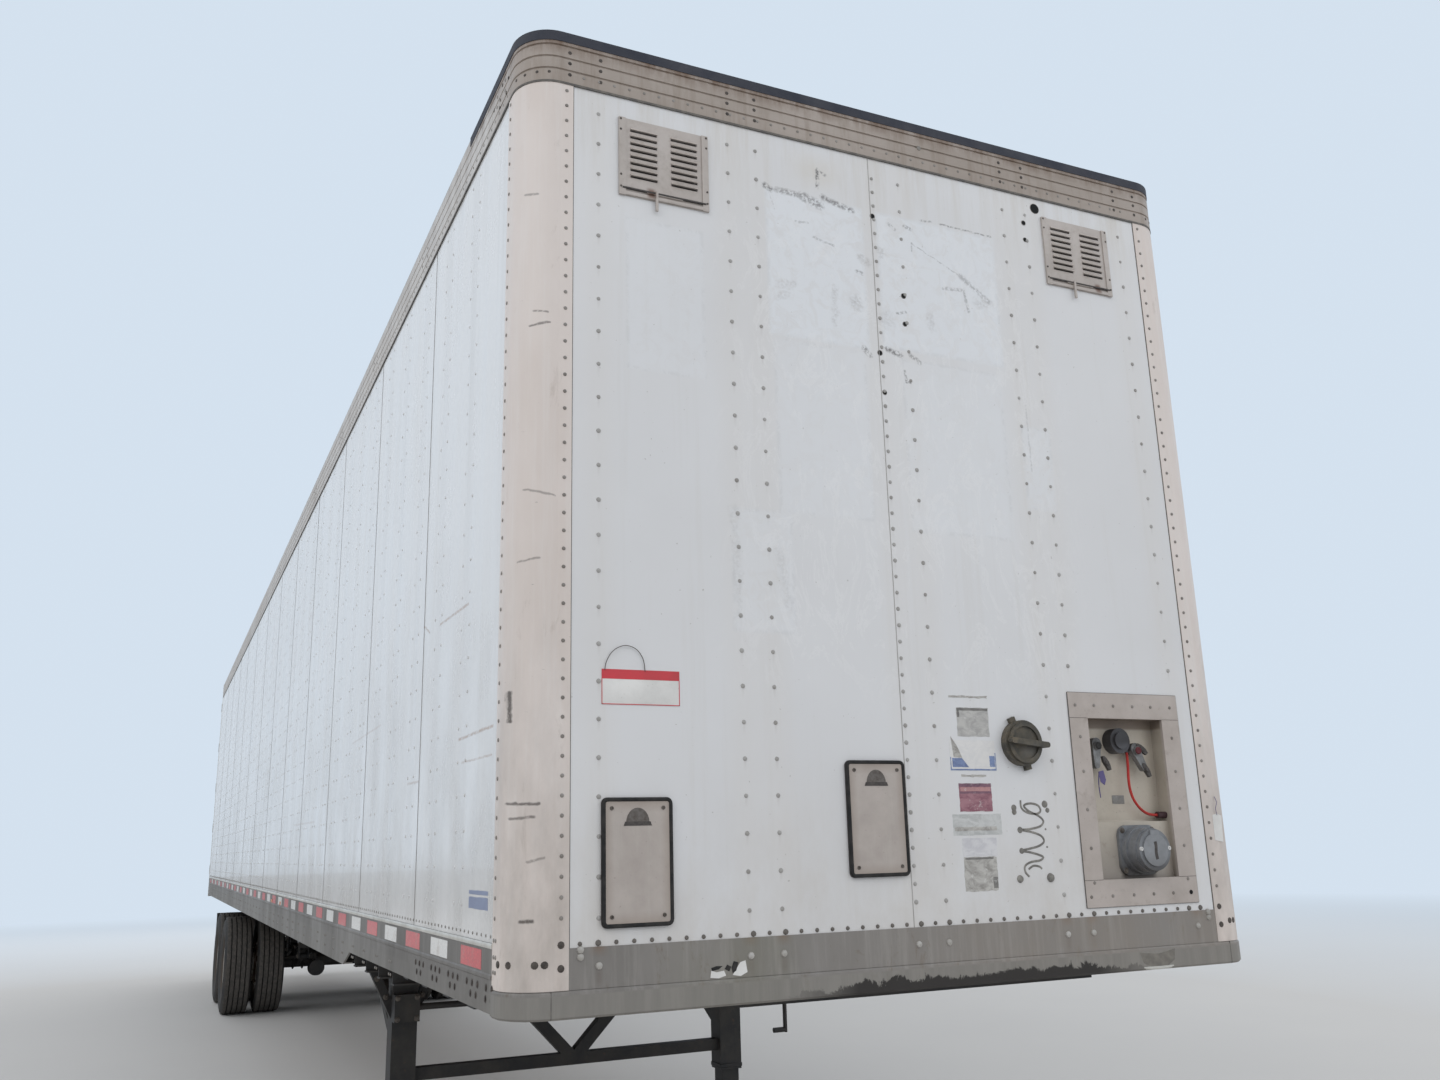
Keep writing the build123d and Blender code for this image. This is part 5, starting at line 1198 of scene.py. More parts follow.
def make_post_rivets():
    places = []
    post = 0.003
    for side in (-1, 1):
        z = RAIL_SEAM - 0.029
        while z > 1.43:
            places.append(at("front", side * POST_COLUMN, NOSE + post, z))
            places.append(flank(side, HALF - post, SIDE_START - 0.022, z))
            z -= POST_RIVET_PITCH
        for row in (1.401, 1.359, 1.321):
            for y in (0.148, 0.128):
                places.append(flank(side, HALF - post, NOSE + y, row))
    piece("post_rivets", dome(0.0062, 0.003), "rivet", places=places)
    bolts = [at("front", side * POST_COLUMN, NOSE + post, z) for side in (-1, 1) for z in (1.39, 1.332)]
    bolts += [on_corner(side, turn, 1.343, post) for side in (-1, 1) for turn in (12, 24, 60, 82)]
    piece("post_bolts", dome(0.0105, 0.0029, 10), "dark_bolt", places=bolts)


def make_rail_rivets():
    """The dense row low on the top rail, and columns of three at its splices."""
    places = []
    splices = [side * x for x in (1.144, 1.043, 0.603, 0.503) for side in (-1, 1)]
    front, flank_x = NOSE + 0.002, HALF - 0.002
    places += [at("front", x, front, RAIL_ROW_Z) for x in run(-1.098, 1.1, EDGE_PITCH)]
    rusted = [at("front", x, front, z, size=1.25) for x in splices for z in (4.046, 4.008, 3.968)]
    for side in (-1, 1):
        rusted += [on_corner(side, turn, RAIL_ROW_Z, 0.002) for turn in (18, 36, 56, 75)]
        for y, z in ((0.012, 4.03), (0.035, 3.99), (0.085, 4.05), (0.11, 4.01), (0.115, 3.985), (0.19, 4.02)):
            rusted.append(flank(side, flank_x, SIDE_START + y, z, size=1.25))
        for y in run(SIDE_START + 0.02, SIDE_END - 0.03, EDGE_PITCH):
            places.append(flank(side, flank_x, y, RAIL_ROW_Z))
        for y in run(SIDE_START + 0.05, SIDE_END - 0.2, SHEET_WIDTH):
            places += [
                flank(side, flank_x, y + step, z, size=1.25)
                for step in (0, 0.1) for z in (4.046, 4.008)
            ]
    places.append(at("front", 0.152, front, 4.022, size=1.9))
    for name, look, heads in (("rail_rivets", "rivet", places), ("rail_rivets_rusted", "dark_bolt", rusted)):
        piece(name, dome(0.0058, 0.0015, 6), look, places=heads)


def make_band_bolts():
    heads = [at("front", x, NOSE + 0.004, 1.333) for x in NOSE_COLUMNS]
    heads += [at("front", x, NOSE + 0.004, z) for x in (-1.1, 1.1) for z in (1.375, 1.357)]
    piece("band_bolts", dome(0.0105, 0.006, 10), "band_bolt", places=heads)


def make_seams():
    """Sealant lines: the lap of the two nose sheets, the posts' edges and the line under the top rail."""
    shapes = []
    laps = []
    for x, width, strips in ((-0.0655, 0.003, laps), (-POST_EDGE, 0.006, shapes), (POST_EDGE, 0.006, shapes)):
        line = [(Vector((x, SHEET_Y, z)), ACROSS, Vector((0, -1, 0))) for z in (NOSE_SEAM, RAIL_SEAM - 0.005)]
        strips.append(
            swept(line, [(-width / 2, 0), (width / 2, 0), (width / 4, 0.0012), (-width / 4, 0.0012)])
        )
    piece("lap_seam", joined(*laps), "seam_pale")
    for side in (-1, 1):
        for y in [SIDE_START + 0.001] + run(SIDE_START + 1.08, SIDE_END - 0.3, SHEET_WIDTH):
            line = [
                (Vector((side * WALL_X, y, z)), Vector((0, 1, 0)), ACROSS * side)
                for z in (SIDE_SEAM, RAIL_SEAM - 0.005)
            ]
            shapes.append(swept(line, [(-0.0015, 0), (0.0015, 0), (0.001, 0.001), (-0.001, 0.001)]))
    line = wrap_line(0.0055, SIDE_END, RAIL_SEAM)
    shapes.append(swept(line, [(0, -0.007), (0.0045, -0.007), (0.0045, 0), (0, 0)]))
    piece("seams", joined(*shapes), "sealant")


def make_side_rivets():
    """Pairs of columns where each side post is riveted, and the close row at the sheet's foot."""
    for side, name in SIDES.items():
        places = []
        for centre in run(NOSE + 0.592, SIDE_END - 0.25, SIDE_POST_PITCH):
            for y in (centre - 0.052, centre + 0.052):
                z = COLUMN_TOP + 0.03
                while z > SIDE_SEAM + 0.05:
                    places.append(flank(side, WALL_X, y, z))
                    z -= COLUMN_PITCH
        piece(
            "side_rivets_" + name, dome(0.0058, 0.0024, 6), "rivet_white", places=places,
        )
        row = run(SIDE_START + 0.03, SIDE_END - 0.03, EDGE_PITCH)
        foot = [flank(side, WALL_X, y, SIDE_SEAM + 0.016) for y in row]
        piece("side_foot_rivets_" + name, dome(0.0052, 0.0022, 6), "rivet", places=foot)


def make_side_rail_parts():
    """Drip strip, tape, and the bolts of the coupler section and of each crossmember."""
    rail = high("side_rails").x - 0.003
    drips, reds, whites, bolts, small = [], [], [], [], []
    for side in (-1, 1):
        line = [(Vector((side * rail, y, 0)), ACROSS * side, UP) for y in (SIDE_START, SIDE_END)]
        profile = [
            (-0.001, 1.378), (0.0015, 1.378), (0.0028, 1.382), (0.0028, 1.388), (0.0015, 1.392),
            (-0.001, 1.392),
        ]
        drips.append(swept(line, profile))
        half = 0.121
        for first, strips in ((0.4, reds), (0.821, whites)):
            for y in run(NOSE + first, SIDE_END - 0.2, 0.842):
                strips.append(rounded(
                    side * rail, side * (rail + 0.0006), y - half, y + half, 1.318, 1.37, 0.0003, 1,
                ))
        # Columns: row height, then the first bolt and the count of each group
        for z, groups in (
            (1.277, ((0.159, 2), (0.316, 3), (0.555, 3), (0.801, 3), (1.05, 3))),
            (1.248, ((0.163, 2), (0.333, 2), (0.59, 2), (0.84, 2), (1.09, 2))),
        ):
            for first, count in groups:
                bolts += [flank(side, rail, NOSE + first + k * 0.062, z) for k in range(count)]
        for y in run(low("crossmembers").y + 0.0285, high("crossmembers").y, BEAM_PITCH):
            small += [flank(side, rail, y + step, z) for step in (-0.018, 0.018) for z in (1.246, 1.2)]
    piece("drip_strips", joined(*drips), "strip_bright")
    piece("tape_red", joined(*reds), "tape_red")
    piece("tape_white", joined(*whites), "tape_white")
    piece("coupler_bolts", hex_bolt(0.0075, 0.0029), "dark_bolt", places=bolts)
    piece("crossmember_bolts", dome(0.006, 0.003, 6), "rivet", places=small)


def make_nose_sign():
    """A blank notice plate with its red head band and border, and the loop of wire above it."""
    x0, x1, z0, z1 = -1.041, -0.807, 2.016, 2.114
    band = z1 - 0.027
    y = SHEET_Y
    piece("sign_plate", rounded(x0, x1, y - 0.0012, y, z0, z1, 0.0006), "paper")
    edge = 0.0022
    frame_shapes = [rounded(x0, x1, y - 0.0017, y - 0.0011, band, z1, 0.0002, 1)]
    for a, b, c, d in ((x0, x1, z0, z0 + edge), (x0, x0 + edge, z0, band), (x1 - edge, x1, z0, band)):
        frame_shapes.append(rounded(a, b, y - 0.0017, y - 0.0011, c, d, 0.0002, 1))
    piece("sign_band", joined(*frame_shapes), "sign_red")
    loop = [
        (-1.032, 2.11), (-1.027, 2.136), (-1.008, 2.165), (-0.975, 2.181), (-0.941, 2.173), (-0.919, 2.146),
        (-0.912, 2.11),
    ]
    wire = [(x, y - 0.0025 - 0.004 * math.sin(k / 6 * math.pi), z) for k, (x, z) in enumerate(loop)]
    piece("sign_wire", tube(smooth_line(wire), 0.0011, 6), "dark_bolt")


def torn(x0, x1, z0, z1, chance, rag=0.0016, steps=9):
    """The outline of a sticker with a slightly ragged edge."""
    corners = [(x0, z0), (x1, z0), (x1, z1), (x0, z1)]
    points = []
    for (ax, az), (bx, bz) in zip(corners, corners[1:] + corners[:1]):
        for k in range(steps):
            t = k / steps
            x = ax + (bx - ax) * t + chance.uniform(-rag, rag)
            points.append((x, az + (bz - az) * t + chance.uniform(-rag, rag)))
    return points


def make_labels():
    """The column of worn stickers, all blank, and the ones on the band and the side."""
    chance = random.Random(11)
    front = at("front", 0, SHEET_Y, 0)
    # Columns: name, look, x0, x1, z0, z1, raggedness
    table = [
        ("label_strip", "label_silver", 0.115, 0.262, 2.066, 2.073, 0.0016),
        ("label_top", "label_worn", 0.14, 0.262, 1.944, 2.035, 0.0012),
        ("label_white", "label_white", 0.105, 0.277, 1.838, 1.932, 0.0012),
        ("label_maroon", "label_maroon", 0.129, 0.252, 1.713, 1.796, 0.001),
        ("label_pale", "label_grey", 0.098, 0.281, 1.641, 1.705, 0.0012),
        ("label_low", "label_pale", 0.127, 0.257, 1.579, 1.633, 0.0012),
        ("label_foot", "label_silver", 0.128, 0.252, 1.475, 1.576, 0.0016),
        ("label_scroll", "label_silver", 0.142, 0.236, 1.819, 1.826, 0.0016),
    ]
    for name, look, x0, x1, z0, z1, rag in table:
        piece(name, bent(outlined(torn(x0, x1, z0, z1, chance, rag), 0.0004), front), look)
    # Plain coloured bands and corner blocks that lie on the stickers
    table = [
        ("label_top_edge", "label_worn_dark", [(0.141, 0.26, 2.026, 2.034), (0.142, 0.15, 2.005, 2.027)]),
        ("label_blue_blocks", "label_deep", [
            (0.112, 0.15, 1.849, 1.877), (0.254, 0.274, 1.85, 1.884), (0.104, 0.278, 1.839, 1.8435),
            (0.1045, 0.1075, 1.843, 1.88), (0.2755, 0.2785, 1.843, 1.893),
        ]),
        ("label_maroon_bands", "label_band", [(0.129, 0.252, 1.789, 1.799), (0.131, 0.25, 1.768, 1.774)]),
        ("label_maroon_panel", "label_rose", [(0.135, 0.247, 1.7755, 1.7875)]),
        ("label_pale_band", "label_silver", [(0.104, 0.262, 1.655, 1.667)]),
        (
            "label_foot_corners", "label_worn_dark",
            [(0.234, 0.251, 1.482, 1.515), (0.134, 0.24, 1.569, 1.575)],
        ),
    ]
    for name, look, boxes in table:
        shapes = [outlined(torn(*box, chance, 0.0006), 0.0008) for box in boxes]
        piece(name, bent(joined(*shapes), front), look)
    flag = [
        ([(0.111, 1.944), (0.118, 1.88), (0.15, 1.878), (0.133, 1.914)], "label_silver"),
        ([(0.15, 1.876), (0.15, 1.849), (0.173, 1.849)], "label_deep"),
    ]
    for index, (points, look) in enumerate(flag):
        piece("label_flag_%d" % index, bent(outlined(points, 0.0009), front), look)
    # What is left of a torn sticker on the band
    on_band = at("front", 0, NOSE + 0.004, 0)
    whites = [
        [(-0.731, 1.283), (-0.706, 1.28), (-0.684, 1.286), (-0.69, 1.299), (-0.712, 1.296), (-0.728, 1.301)],
        [(-0.664, 1.286), (-0.64, 1.282), (-0.619, 1.291), (-0.624, 1.322), (-0.64, 1.318), (-0.652, 1.302)],
    ]
    blacks = [
        [(-0.726, 1.3), (-0.706, 1.303), (-0.694, 1.311), (-0.712, 1.312), (-0.728, 1.308)],
        [(-0.688, 1.303), (-0.674, 1.296), (-0.668, 1.308), (-0.68, 1.314)],
        [(-0.664, 1.291), (-0.653, 1.297), (-0.646, 1.318), (-0.66, 1.322), (-0.667, 1.306)],
    ]
    piece("torn_white", bent(joined(*[outlined(points, 0.0006) for points in whites]), on_band), "paper")
    piece("torn_black", bent(joined(*[outlined(points, 0.0008) for points in blacks]), on_band), "gasket")
    # Two blank blue strips low on the curb side
    curb = at(SIDES[-1], -WALL_X, 0, 0)
    strips = []
    for z0, z1 in ((1.474, 1.506), (1.513, 1.524)):
        outline = [(z, y) for y, z in torn(NOSE + 0.232, NOSE + 0.452, z0, z1, chance, 0.0008)]
        strips.append(outlined(outline, 0.0005))
    piece("side_label", bent(joined(*strips), curb), "label_side")


def make_glue():
    """Dried adhesive left on the nose in a zig-zag, with blobs round it."""
    front = at("front", 0, SHEET_Y, 0)
    line = [
        (0.362, 1.746), (0.364, 1.722), (0.385, 1.708), (0.42, 1.703), (0.438, 1.712), (0.43, 1.729),
        (0.4, 1.736),
        (0.374, 1.729), (0.392, 1.712), (0.428, 1.697), (0.446, 1.68), (0.43, 1.664), (0.385, 1.656),
        (0.35, 1.655),
        (0.392, 1.648), (0.43, 1.636), (0.442, 1.618), (0.42, 1.604), (0.38, 1.596), (0.35, 1.591),
        (0.39, 1.584),
        (0.432, 1.571), (0.42, 1.56), (0.385, 1.556), (0.36, 1.545), (0.358, 1.527), (0.372, 1.512),
    ]
    tail = [(0.372, 1.534), (0.392, 1.544), (0.415, 1.541), (0.424, 1.534)]
    shapes = [bead(smooth_line(line, 5), 0.0078, 0.002), bead(smooth_line(tail, 5), 0.0075, 0.0018)]
    # Columns: place across and up, size, height
    for x, z, size, height in (
        (0.334, 1.723, 0.011, 0.003), (0.334, 1.71, 0.01, 0.003), (0.457, 1.733, 0.013, 0.002),
        (0.466, 1.714, 0.009, 0.002), (0.351, 1.6545, 0.011, 0.003), (0.351, 1.5905, 0.01, 0.003),
        (0.336, 1.506, 0.013, 0.006), (0.455, 1.506, 0.015, 0.008), (0.452, 1.655, 0.004, 0.001),
        (0.452, 1.6, 0.004, 0.001),
    ):
        shapes.append(bent(dome(size, height, 10), Matrix.Translation((x, z, 0))))
    piece("glue", bent(joined(*shapes), front), "glue")


def make_nose_holes():
    """Holes in the sheet, each a turned edge round a black disc of painted shade, and the larger one above
    the road-side vent.
    """
    # Columns: place across, height, radius
    holes = [
        (-0.059, 3.711, 0.0085), (0.047, 3.432, 0.0085), (0.045, 3.328, 0.0075), (-0.062, 3.207, 0.0085),
        (-0.053, 3.068, 0.0075), (0.597, 3.822, 0.0085), (0.597, 3.754, 0.0075), (0.655, 3.892, 0.019),
    ]
    edges, darks = [], []
    for x, z, radius in holes:
        place = at("front", x, SHEET_Y, z)
        lip = swept(
            circle(radius, 16), [(0, -0.0005), (0.0022, -0.0005), (0.0012, 0.0011), (0, 0.0008)], True,
        )
        edges.append(bent(lip, place))
        # Black discs of painted shade in the holes
        darks.append(bent(stack([(radius, -0.0006), (radius, 0.0004)], 16), place))
    piece("hole_edges", joined(*edges), "rivet")
    piece("hole_darks", joined(*darks), "black")


def make_cover_parts():
    """Four screws on each cover and the dark mark under its top edge."""
    screws, marks, feet = [], [], []
    front = SHEET_Y - 0.009
    for x, z in COVERS:
        for dx in (-0.075, 0.075):
            screws += [at("front", x + dx, front, z + dz) for dz in (-0.141, 0.141)]
        turns = [math.pi * k / 12 for k in range(13)]
        mark = [(math.cos(turn) * 0.034, 0.102 + math.sin(turn) * 0.04) for turn in turns]
        marks.append(bent(outlined(mark, 0.0004), at("front", x, front, z)))
        foot = [(-0.041, 0.094), (0.041, 0.094), (0.037, 0.105), (-0.037, 0.105)]
        feet.append(bent(outlined(foot, 0.0009), at("front", x, front, z)))
    piece("cover_screws", screw(0.0058, 0.0028), "nut", places=screws)
    piece("cover_marks", joined(*marks), "mark_worn")
    piece("cover_mark_feet", joined(*feet), "mark_dark")


def make_vent_screws():
    places = []
    for x in (-VENT[0], VENT[0]):
        for dx in (-0.1465, 0.1465):
            places += [
                at("front", x + dx, SHEET_Y - 0.008, VENT[1] + dz)
                for dz in (0.128, 0.091, -0.067, -0.108)
            ]
    piece("vent_screws", dome(0.0042, 0.002), "dark_bolt", places=places)


def make_bent_lip():
    """The bent piece of the lip towards the road side, sprung out below its dark gap."""
    x0, x1 = 0.783, 0.933
    count = 12
    section = [(0, 0), (0.0035, -0.003), (0.0035, -0.007), (0, -0.0105), (-0.003, -0.007), (-0.003, -0.003)]
    line = []
    for k in range(count + 1):
        t = k / count
        sag = math.sin(math.pi * t)
        place = Vector((x0 + (x1 - x0) * t, NOSE + 0.0045 - 0.004 * sag, 1.222 - 0.004 * sag))
        line.append((place, Vector((0, -1, 0)), UP))
    piece("bent_lip", swept(line, section), "strip_bright")
    mark = [
        (x0, 1.262), (x0 + 0.012, 1.23), (x0 + 0.04, 1.218), (x1 - 0.035, 1.217), (x1 - 0.006, 1.234),
        (x1, 1.268),
        (x1 - 0.03, 1.262), (x0 + 0.08, 1.256), (x0 + 0.03, 1.259),
    ]
    piece("bent_lip_gap", bent(outlined(mark, 0.0012), at("front", 0, NOSE + 0.001, 0)), "lip_shade")
    joints = [
        rounded(x - 0.001, x + 0.001, NOSE - 0.0002, NOSE + 0.004, 1.209, 1.277, 0.0003, 1)
        for x in (-1.179, 1.179)
    ]
    piece("lip_joints", joined(*joints), "sealant")


def make_box_parts():
    """Rivets and joints of the connection box's frame, screws, seals, the plug, the tag and its string."""
    half_x, half_z = 0.238, 0.344
    strip_x, strip_z = 0.038, 0.042
    face = SHEET_Y - 0.004
    plug_z = BOX_Z - half_z + 0.033
    rivets = []
    for z, row in (
        (BOX_Z + half_z - strip_z, (-0.21, -0.13, -0.047, 0.037, 0.118, 0.205)),
        (plug_z, (-0.218, -0.13, -0.041, 0.044, 0.129)),
    ):
        rivets += [at("front", BOX_X + dx, face, z) for dx in row]
    for dz in (0.198, 0.085, -0.038, -0.16, -0.268):
        rivets += [at("front", BOX_X + side * (half_x - strip_x), face, BOX_Z + dz) for side in (-1, 1)]
    piece("box_rivets", dome(0.0062, 0.0026), "rivet", places=rivets)
    joints = []
    for side in (-1, 1):
        inner, outer = BOX_X + side * 0.162, BOX_X + side * half_x
        for z in (BOX_TOP, BOX_Z - 0.26):
            joints.append(rounded(inner, outer, face - 0.0004, face, z - 0.0008, z + 0.0008, 0.0002, 1))
    edge = 0.0015
    sides = [(x - edge, x + edge, BOX_Z - half_z, BOX_Z + half_z) for x in (BOX_X - half_x, BOX_X + half_x)]
    sides += [(BOX_X - half_x, BOX_X + half_x, z - edge, z + edge) for z in (BOX_Z - half_z, BOX_Z + half_z)]
    joints += [rounded(x0, x1, face + 0.0005, SHEET_Y, z0, z1, 0.0004, 1) for x0, x1, z0, z1 in sides]
    piece("box_joints", joined(*joints), "sealant")
    piece("box_plug", dome(0.008, 0.003, 10), "black", places=[at("front", BOX_X + 0.207, face, plug_z)])
    # Socket: bolts on its flange, two pale screws on the ring and the dark mouth of the lid, a dark strip of
    # painted shade in its recess
    sx, sz = BOX_X + 0.01, BOX_Z - 0.17
    ring_face = NOSE - 0.06
    flange = BOX_BACK - 0.046
    bolts = [at("front", sx + dx, flange, sz + dz) for dx in (-0.064, 0.064) for dz in (-0.064, 0.064)]
    piece("socket_bolts", hex_bolt(0.0068, 0.006), "nut", places=bolts)
    pale = [at("front", sx + dx, ring_face, sz + 0.004) for dx in (-0.059, 0.059)]
    piece("socket_screws", screw(0.0075, 0.0045), "rivet_white", places=pale)
    mouth = bead(
        smooth_line([(-0.001, 0.026), (0.001, 0.012), (-0.001, -0.01), (0.002, -0.03)]), 0.015, 0.001,
    )
    piece("socket_mouth", bent(mouth, at("front", sx, ring_face - 0.005, sz)), "mark_dark")
    # Couplings: red seal and dark tongue
    hand_face = BOX_BACK - 0.047
    seal = stack([(0.0125, -0.001), (0.0125, 0.003), (0.009, 0.0055), (0.005, 0.004)], 14)
    for name, look, dx, dz in (
        ("seal_red", "seal_maroon", 0.051, 0.105), ("seal_dark", "gasket", -0.12, 0.09),
    ):
        piece(name, seal, look, places=[at("front", BOX_X + dx, hand_face, BOX_TOP - dz)])
    bar = [
        (-0.006, -0.026), (0.005, -0.028), (0.01, -0.012), (0.009, 0.01), (0.004, 0.024), (-0.004, 0.026),
        (-0.009, 0.008),
    ]
    tongue = joined(outlined(bar, 0.01), stack([(0.0085, 0.008), (0.0085, 0.013), (0.0065, 0.015)], 12))
    places = []
    for dx, dz, turn in ((-0.086, 0.146, 0.5), (0.086, 0.168, 0.55), (0.074, 0.098, 0.9)):
        places.append(at("front", BOX_X + dx, SHEET_Y + 0.02, BOX_TOP - dz, turn))
    piece("hand_tongues", tongue, "mark_dark", places=places)
    # Blank plate on the back, and the tag with its string
    piece(
        "box_label", rounded(0.785, 0.837, BOX_BACK - 0.001, BOX_BACK, 1.733, 1.761, 0.0005),
        "label_worn_dark",
    )
    ledge = rounded(BOX_X - 0.158, BOX_X + 0.15, BOX_BACK - 0.006, BOX_BACK + 0.001, 1.668, 1.68, 0.002)
    piece("box_ledge", ledge, "box_metal")
    tag = [(-0.012, 0), (0.01, 0.002), (0.014, -0.03), (0.004, -0.046), (-0.01, -0.034)]
    piece("tag", bent(outlined(tag, 0.0008), at("front", 0.712, SHEET_Y + 0.01, 1.838, 0.12)), "tag_blue")
    string = [(0.703, 1.836), (0.698, 1.812), (0.6965, 1.785), (0.699, 1.752)]
    wire = [(x, SHEET_Y + 0.009, z) for x, z in string]
    piece("tag_string", tube(smooth_line(wire), 0.0018, 6), "tag_blue")


def make_post_tag():
    """A paper tag hanging at the road-side post, with its wire."""
    face = NOSE + 0.003
    outline = [(1.171, 1.606), (1.208, 1.6), (1.213, 1.688), (1.193, 1.695), (1.172, 1.69)]
    place = at("front", 0, face, 0)
    piece("post_tag", bent(outlined(outline, 0.0008), place), "paper")
    wire = [
        (1.192, face - 0.002, 1.69), (1.187, face - 0.004, 1.712), (1.196, face - 0.003, 1.733),
        (1.19, face - 0.001, 1.752),
    ]
    piece("post_tag_wire", tube(smooth_line(wire), 0.001, 6), "tag_blue")


# Wheels

MOUNT_X = 0.9865
DUAL_HALF = 0.165
NUT_RING = 0.1428
CAP_RING = 0.0585
# Half of the tyre's section from bead to tread, as (across, away)
TYRE_SIDE = [
    (0.09, 0.2862), (0.0975, 0.288), (0.103, 0.294), (0.108, 0.304), (0.1145, 0.312), (0.1185, 0.3145),
    (0.1205, 0.3175), (0.1225, 0.325), (0.1305, 0.348), (0.137, 0.378), (0.1397, 0.4055), (0.139, 0.43),
    (0.1366, 0.449), (0.1373, 0.451), (0.1366, 0.4545), (0.1348, 0.456), (0.1322, 0.47), (0.1296, 0.4755),
    (0.1266, 0.484), (0.1258, 0.4862), (0.1236, 0.4925), (0.12, 0.4985), (0.116, 0.5022), (0.11, 0.5035),
]
TREAD = [
    (0.0825, 0.5043), (0.08, 0.4895), (0.072, 0.4895), (0.0695, 0.5046), (0.0315, 0.5049), (0.029, 0.4895),
    (0.022, 0.4895), (0.0195, 0.505),
]


VALVE = [(0, 0.262, 0.036), (0.02, 0.252, 0.035), (0.055, 0.243, 0.034)]


def tyre_shape(centre_x, y, sides=88):
    """A ribbed tyre: rounded shoulders, sidewall rings and four grooves that weave a little."""
    half = TYRE_SIDE + TREAD
    verts, faces = [], []
    section = half + [(-x, r) for x, r in reversed(half)]
    count = len(section)
    first_groove, last_groove = len(TYRE_SIDE), count - len(TYRE_SIDE)
    for k, out in enumerate(around(sides, 0.5)):
        weave = 0.0016 if k % 2 else -0.0016
        for index, (x, r) in enumerate(section):
            across = x + (weave if first_groove <= index < last_groove else 0)
            verts.append(Vector((centre_x + across, y + r * out.y, AXLE_Z + r * out.x)))
        a, b = k * count, (k + 1) % sides * count
        for i in range(count):
            j = (i + 1) % count
            faces.append((a + i, b + i, b + j, a + j))
    return verts, faces


def shoulder_bars(centre_x, y, count=44):
    """Short raised bars round both shoulders of a tyre."""
    bar = rounded(-0.0035, 0.0035, -0.006, 0.006, -0.0008, 0.0012, 0.0008, 1)
    places = []
    for way in around(count):
        out = Vector((0, way.y, way.x))
        for side in (-1, 1):
            place = Vector((centre_x + side * 0.129, y, AXLE_Z)) + out * 0.4785
            normal = (out * 0.32 + ACROSS * side).normalized()
            along = ACROSS.cross(out)
            matrix = Matrix((along, normal.cross(along), normal)).transposed().to_4x4()
            places.append(Matrix.Translation(place) @ matrix)
    return joined(*[bent(bar, place) for place in places])


def make_wheels():
    nut = joined(
        stack([(0.0235, -0.001), (0.0235, 0.003), (0.0205, 0.006)], 16),
        stack([(0.0192, 0.005), (0.0192, 0.026), (0.016, 0.029)], 6),
        stack([(0.0108, 0.028), (0.0108, 0.037), (0.0095, 0.039)], 10),
    )
    cap = stack(
        [(0.052, -0.001), (0.052, 0.007), (0.047, 0.01), (0.032, 0.01), (0.03, 0.006), (0.008, 0.006)], 28,
    )
    for name, side, y in (
        ("front_right", -1, AXLE_Y[0]), ("front_left", 1, AXLE_Y[0]),
        ("rear_right", -1, AXLE_Y[1]), ("rear_left", 1, AXLE_Y[1]),
    ):
        body = "wheels_" + name
        centres = [side * (MOUNT_X - DUAL_HALF), side * (MOUNT_X + DUAL_HALF)]
        shapes = [tyre_shape(x, y) for x in centres] + [shoulder_bars(x, y) for x in centres]
        look = "tyre_" + name.split("_")[0]
        tyres = piece("ribbed_" + body, joined(*shapes), look, body, smooth=28)
        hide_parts("tyres_" + name)
        nuts = []
        for k, out in enumerate(around(10, 0.5)):
            nuts.append(
                flank(side, MOUNT_X + 0.012, y + NUT_RING * out.y, AXLE_Z + NUT_RING * out.x, k * 0.7)
            )
        piece("nuts_" + body, nut, "nut", body, nuts)
        end = MOUNT_X + 0.126
        piece("cap_" + body, cap, "cap_metal", body, [flank(side, end, y, AXLE_Z)])
        bolts = [flank(side, end, y + CAP_RING * out.y, AXLE_Z + CAP_RING * out.x) for out in around(6)]
        piece("cap_bolts_" + body, hex_bolt(0.0038, 0.004), "galvanised", body, bolts)
        foot = side * (MOUNT_X + 0.06)
        stem = [(foot + side * x, y + dy, AXLE_Z + dz) for x, dy, dz in VALVE]
        piece("valve_" + body, tube(smooth_line(stem), 0.0042, 8), "galvanised", body)


# Running gear and landing legs

TANDEM_Y = (AXLE_Y[0] + AXLE_Y[1]) / 2
SPRING_X = 0.5
SEAT_Z = 0.5945
HANGER_PITCH = 1.135
BOLT_REACH = 0.0745
HOLE_PITCH = 0.1524
BEAM_BOTTOM = low("crossmembers").z
LEG_X = 0.9
LEG_Y = NOSE + 3.45


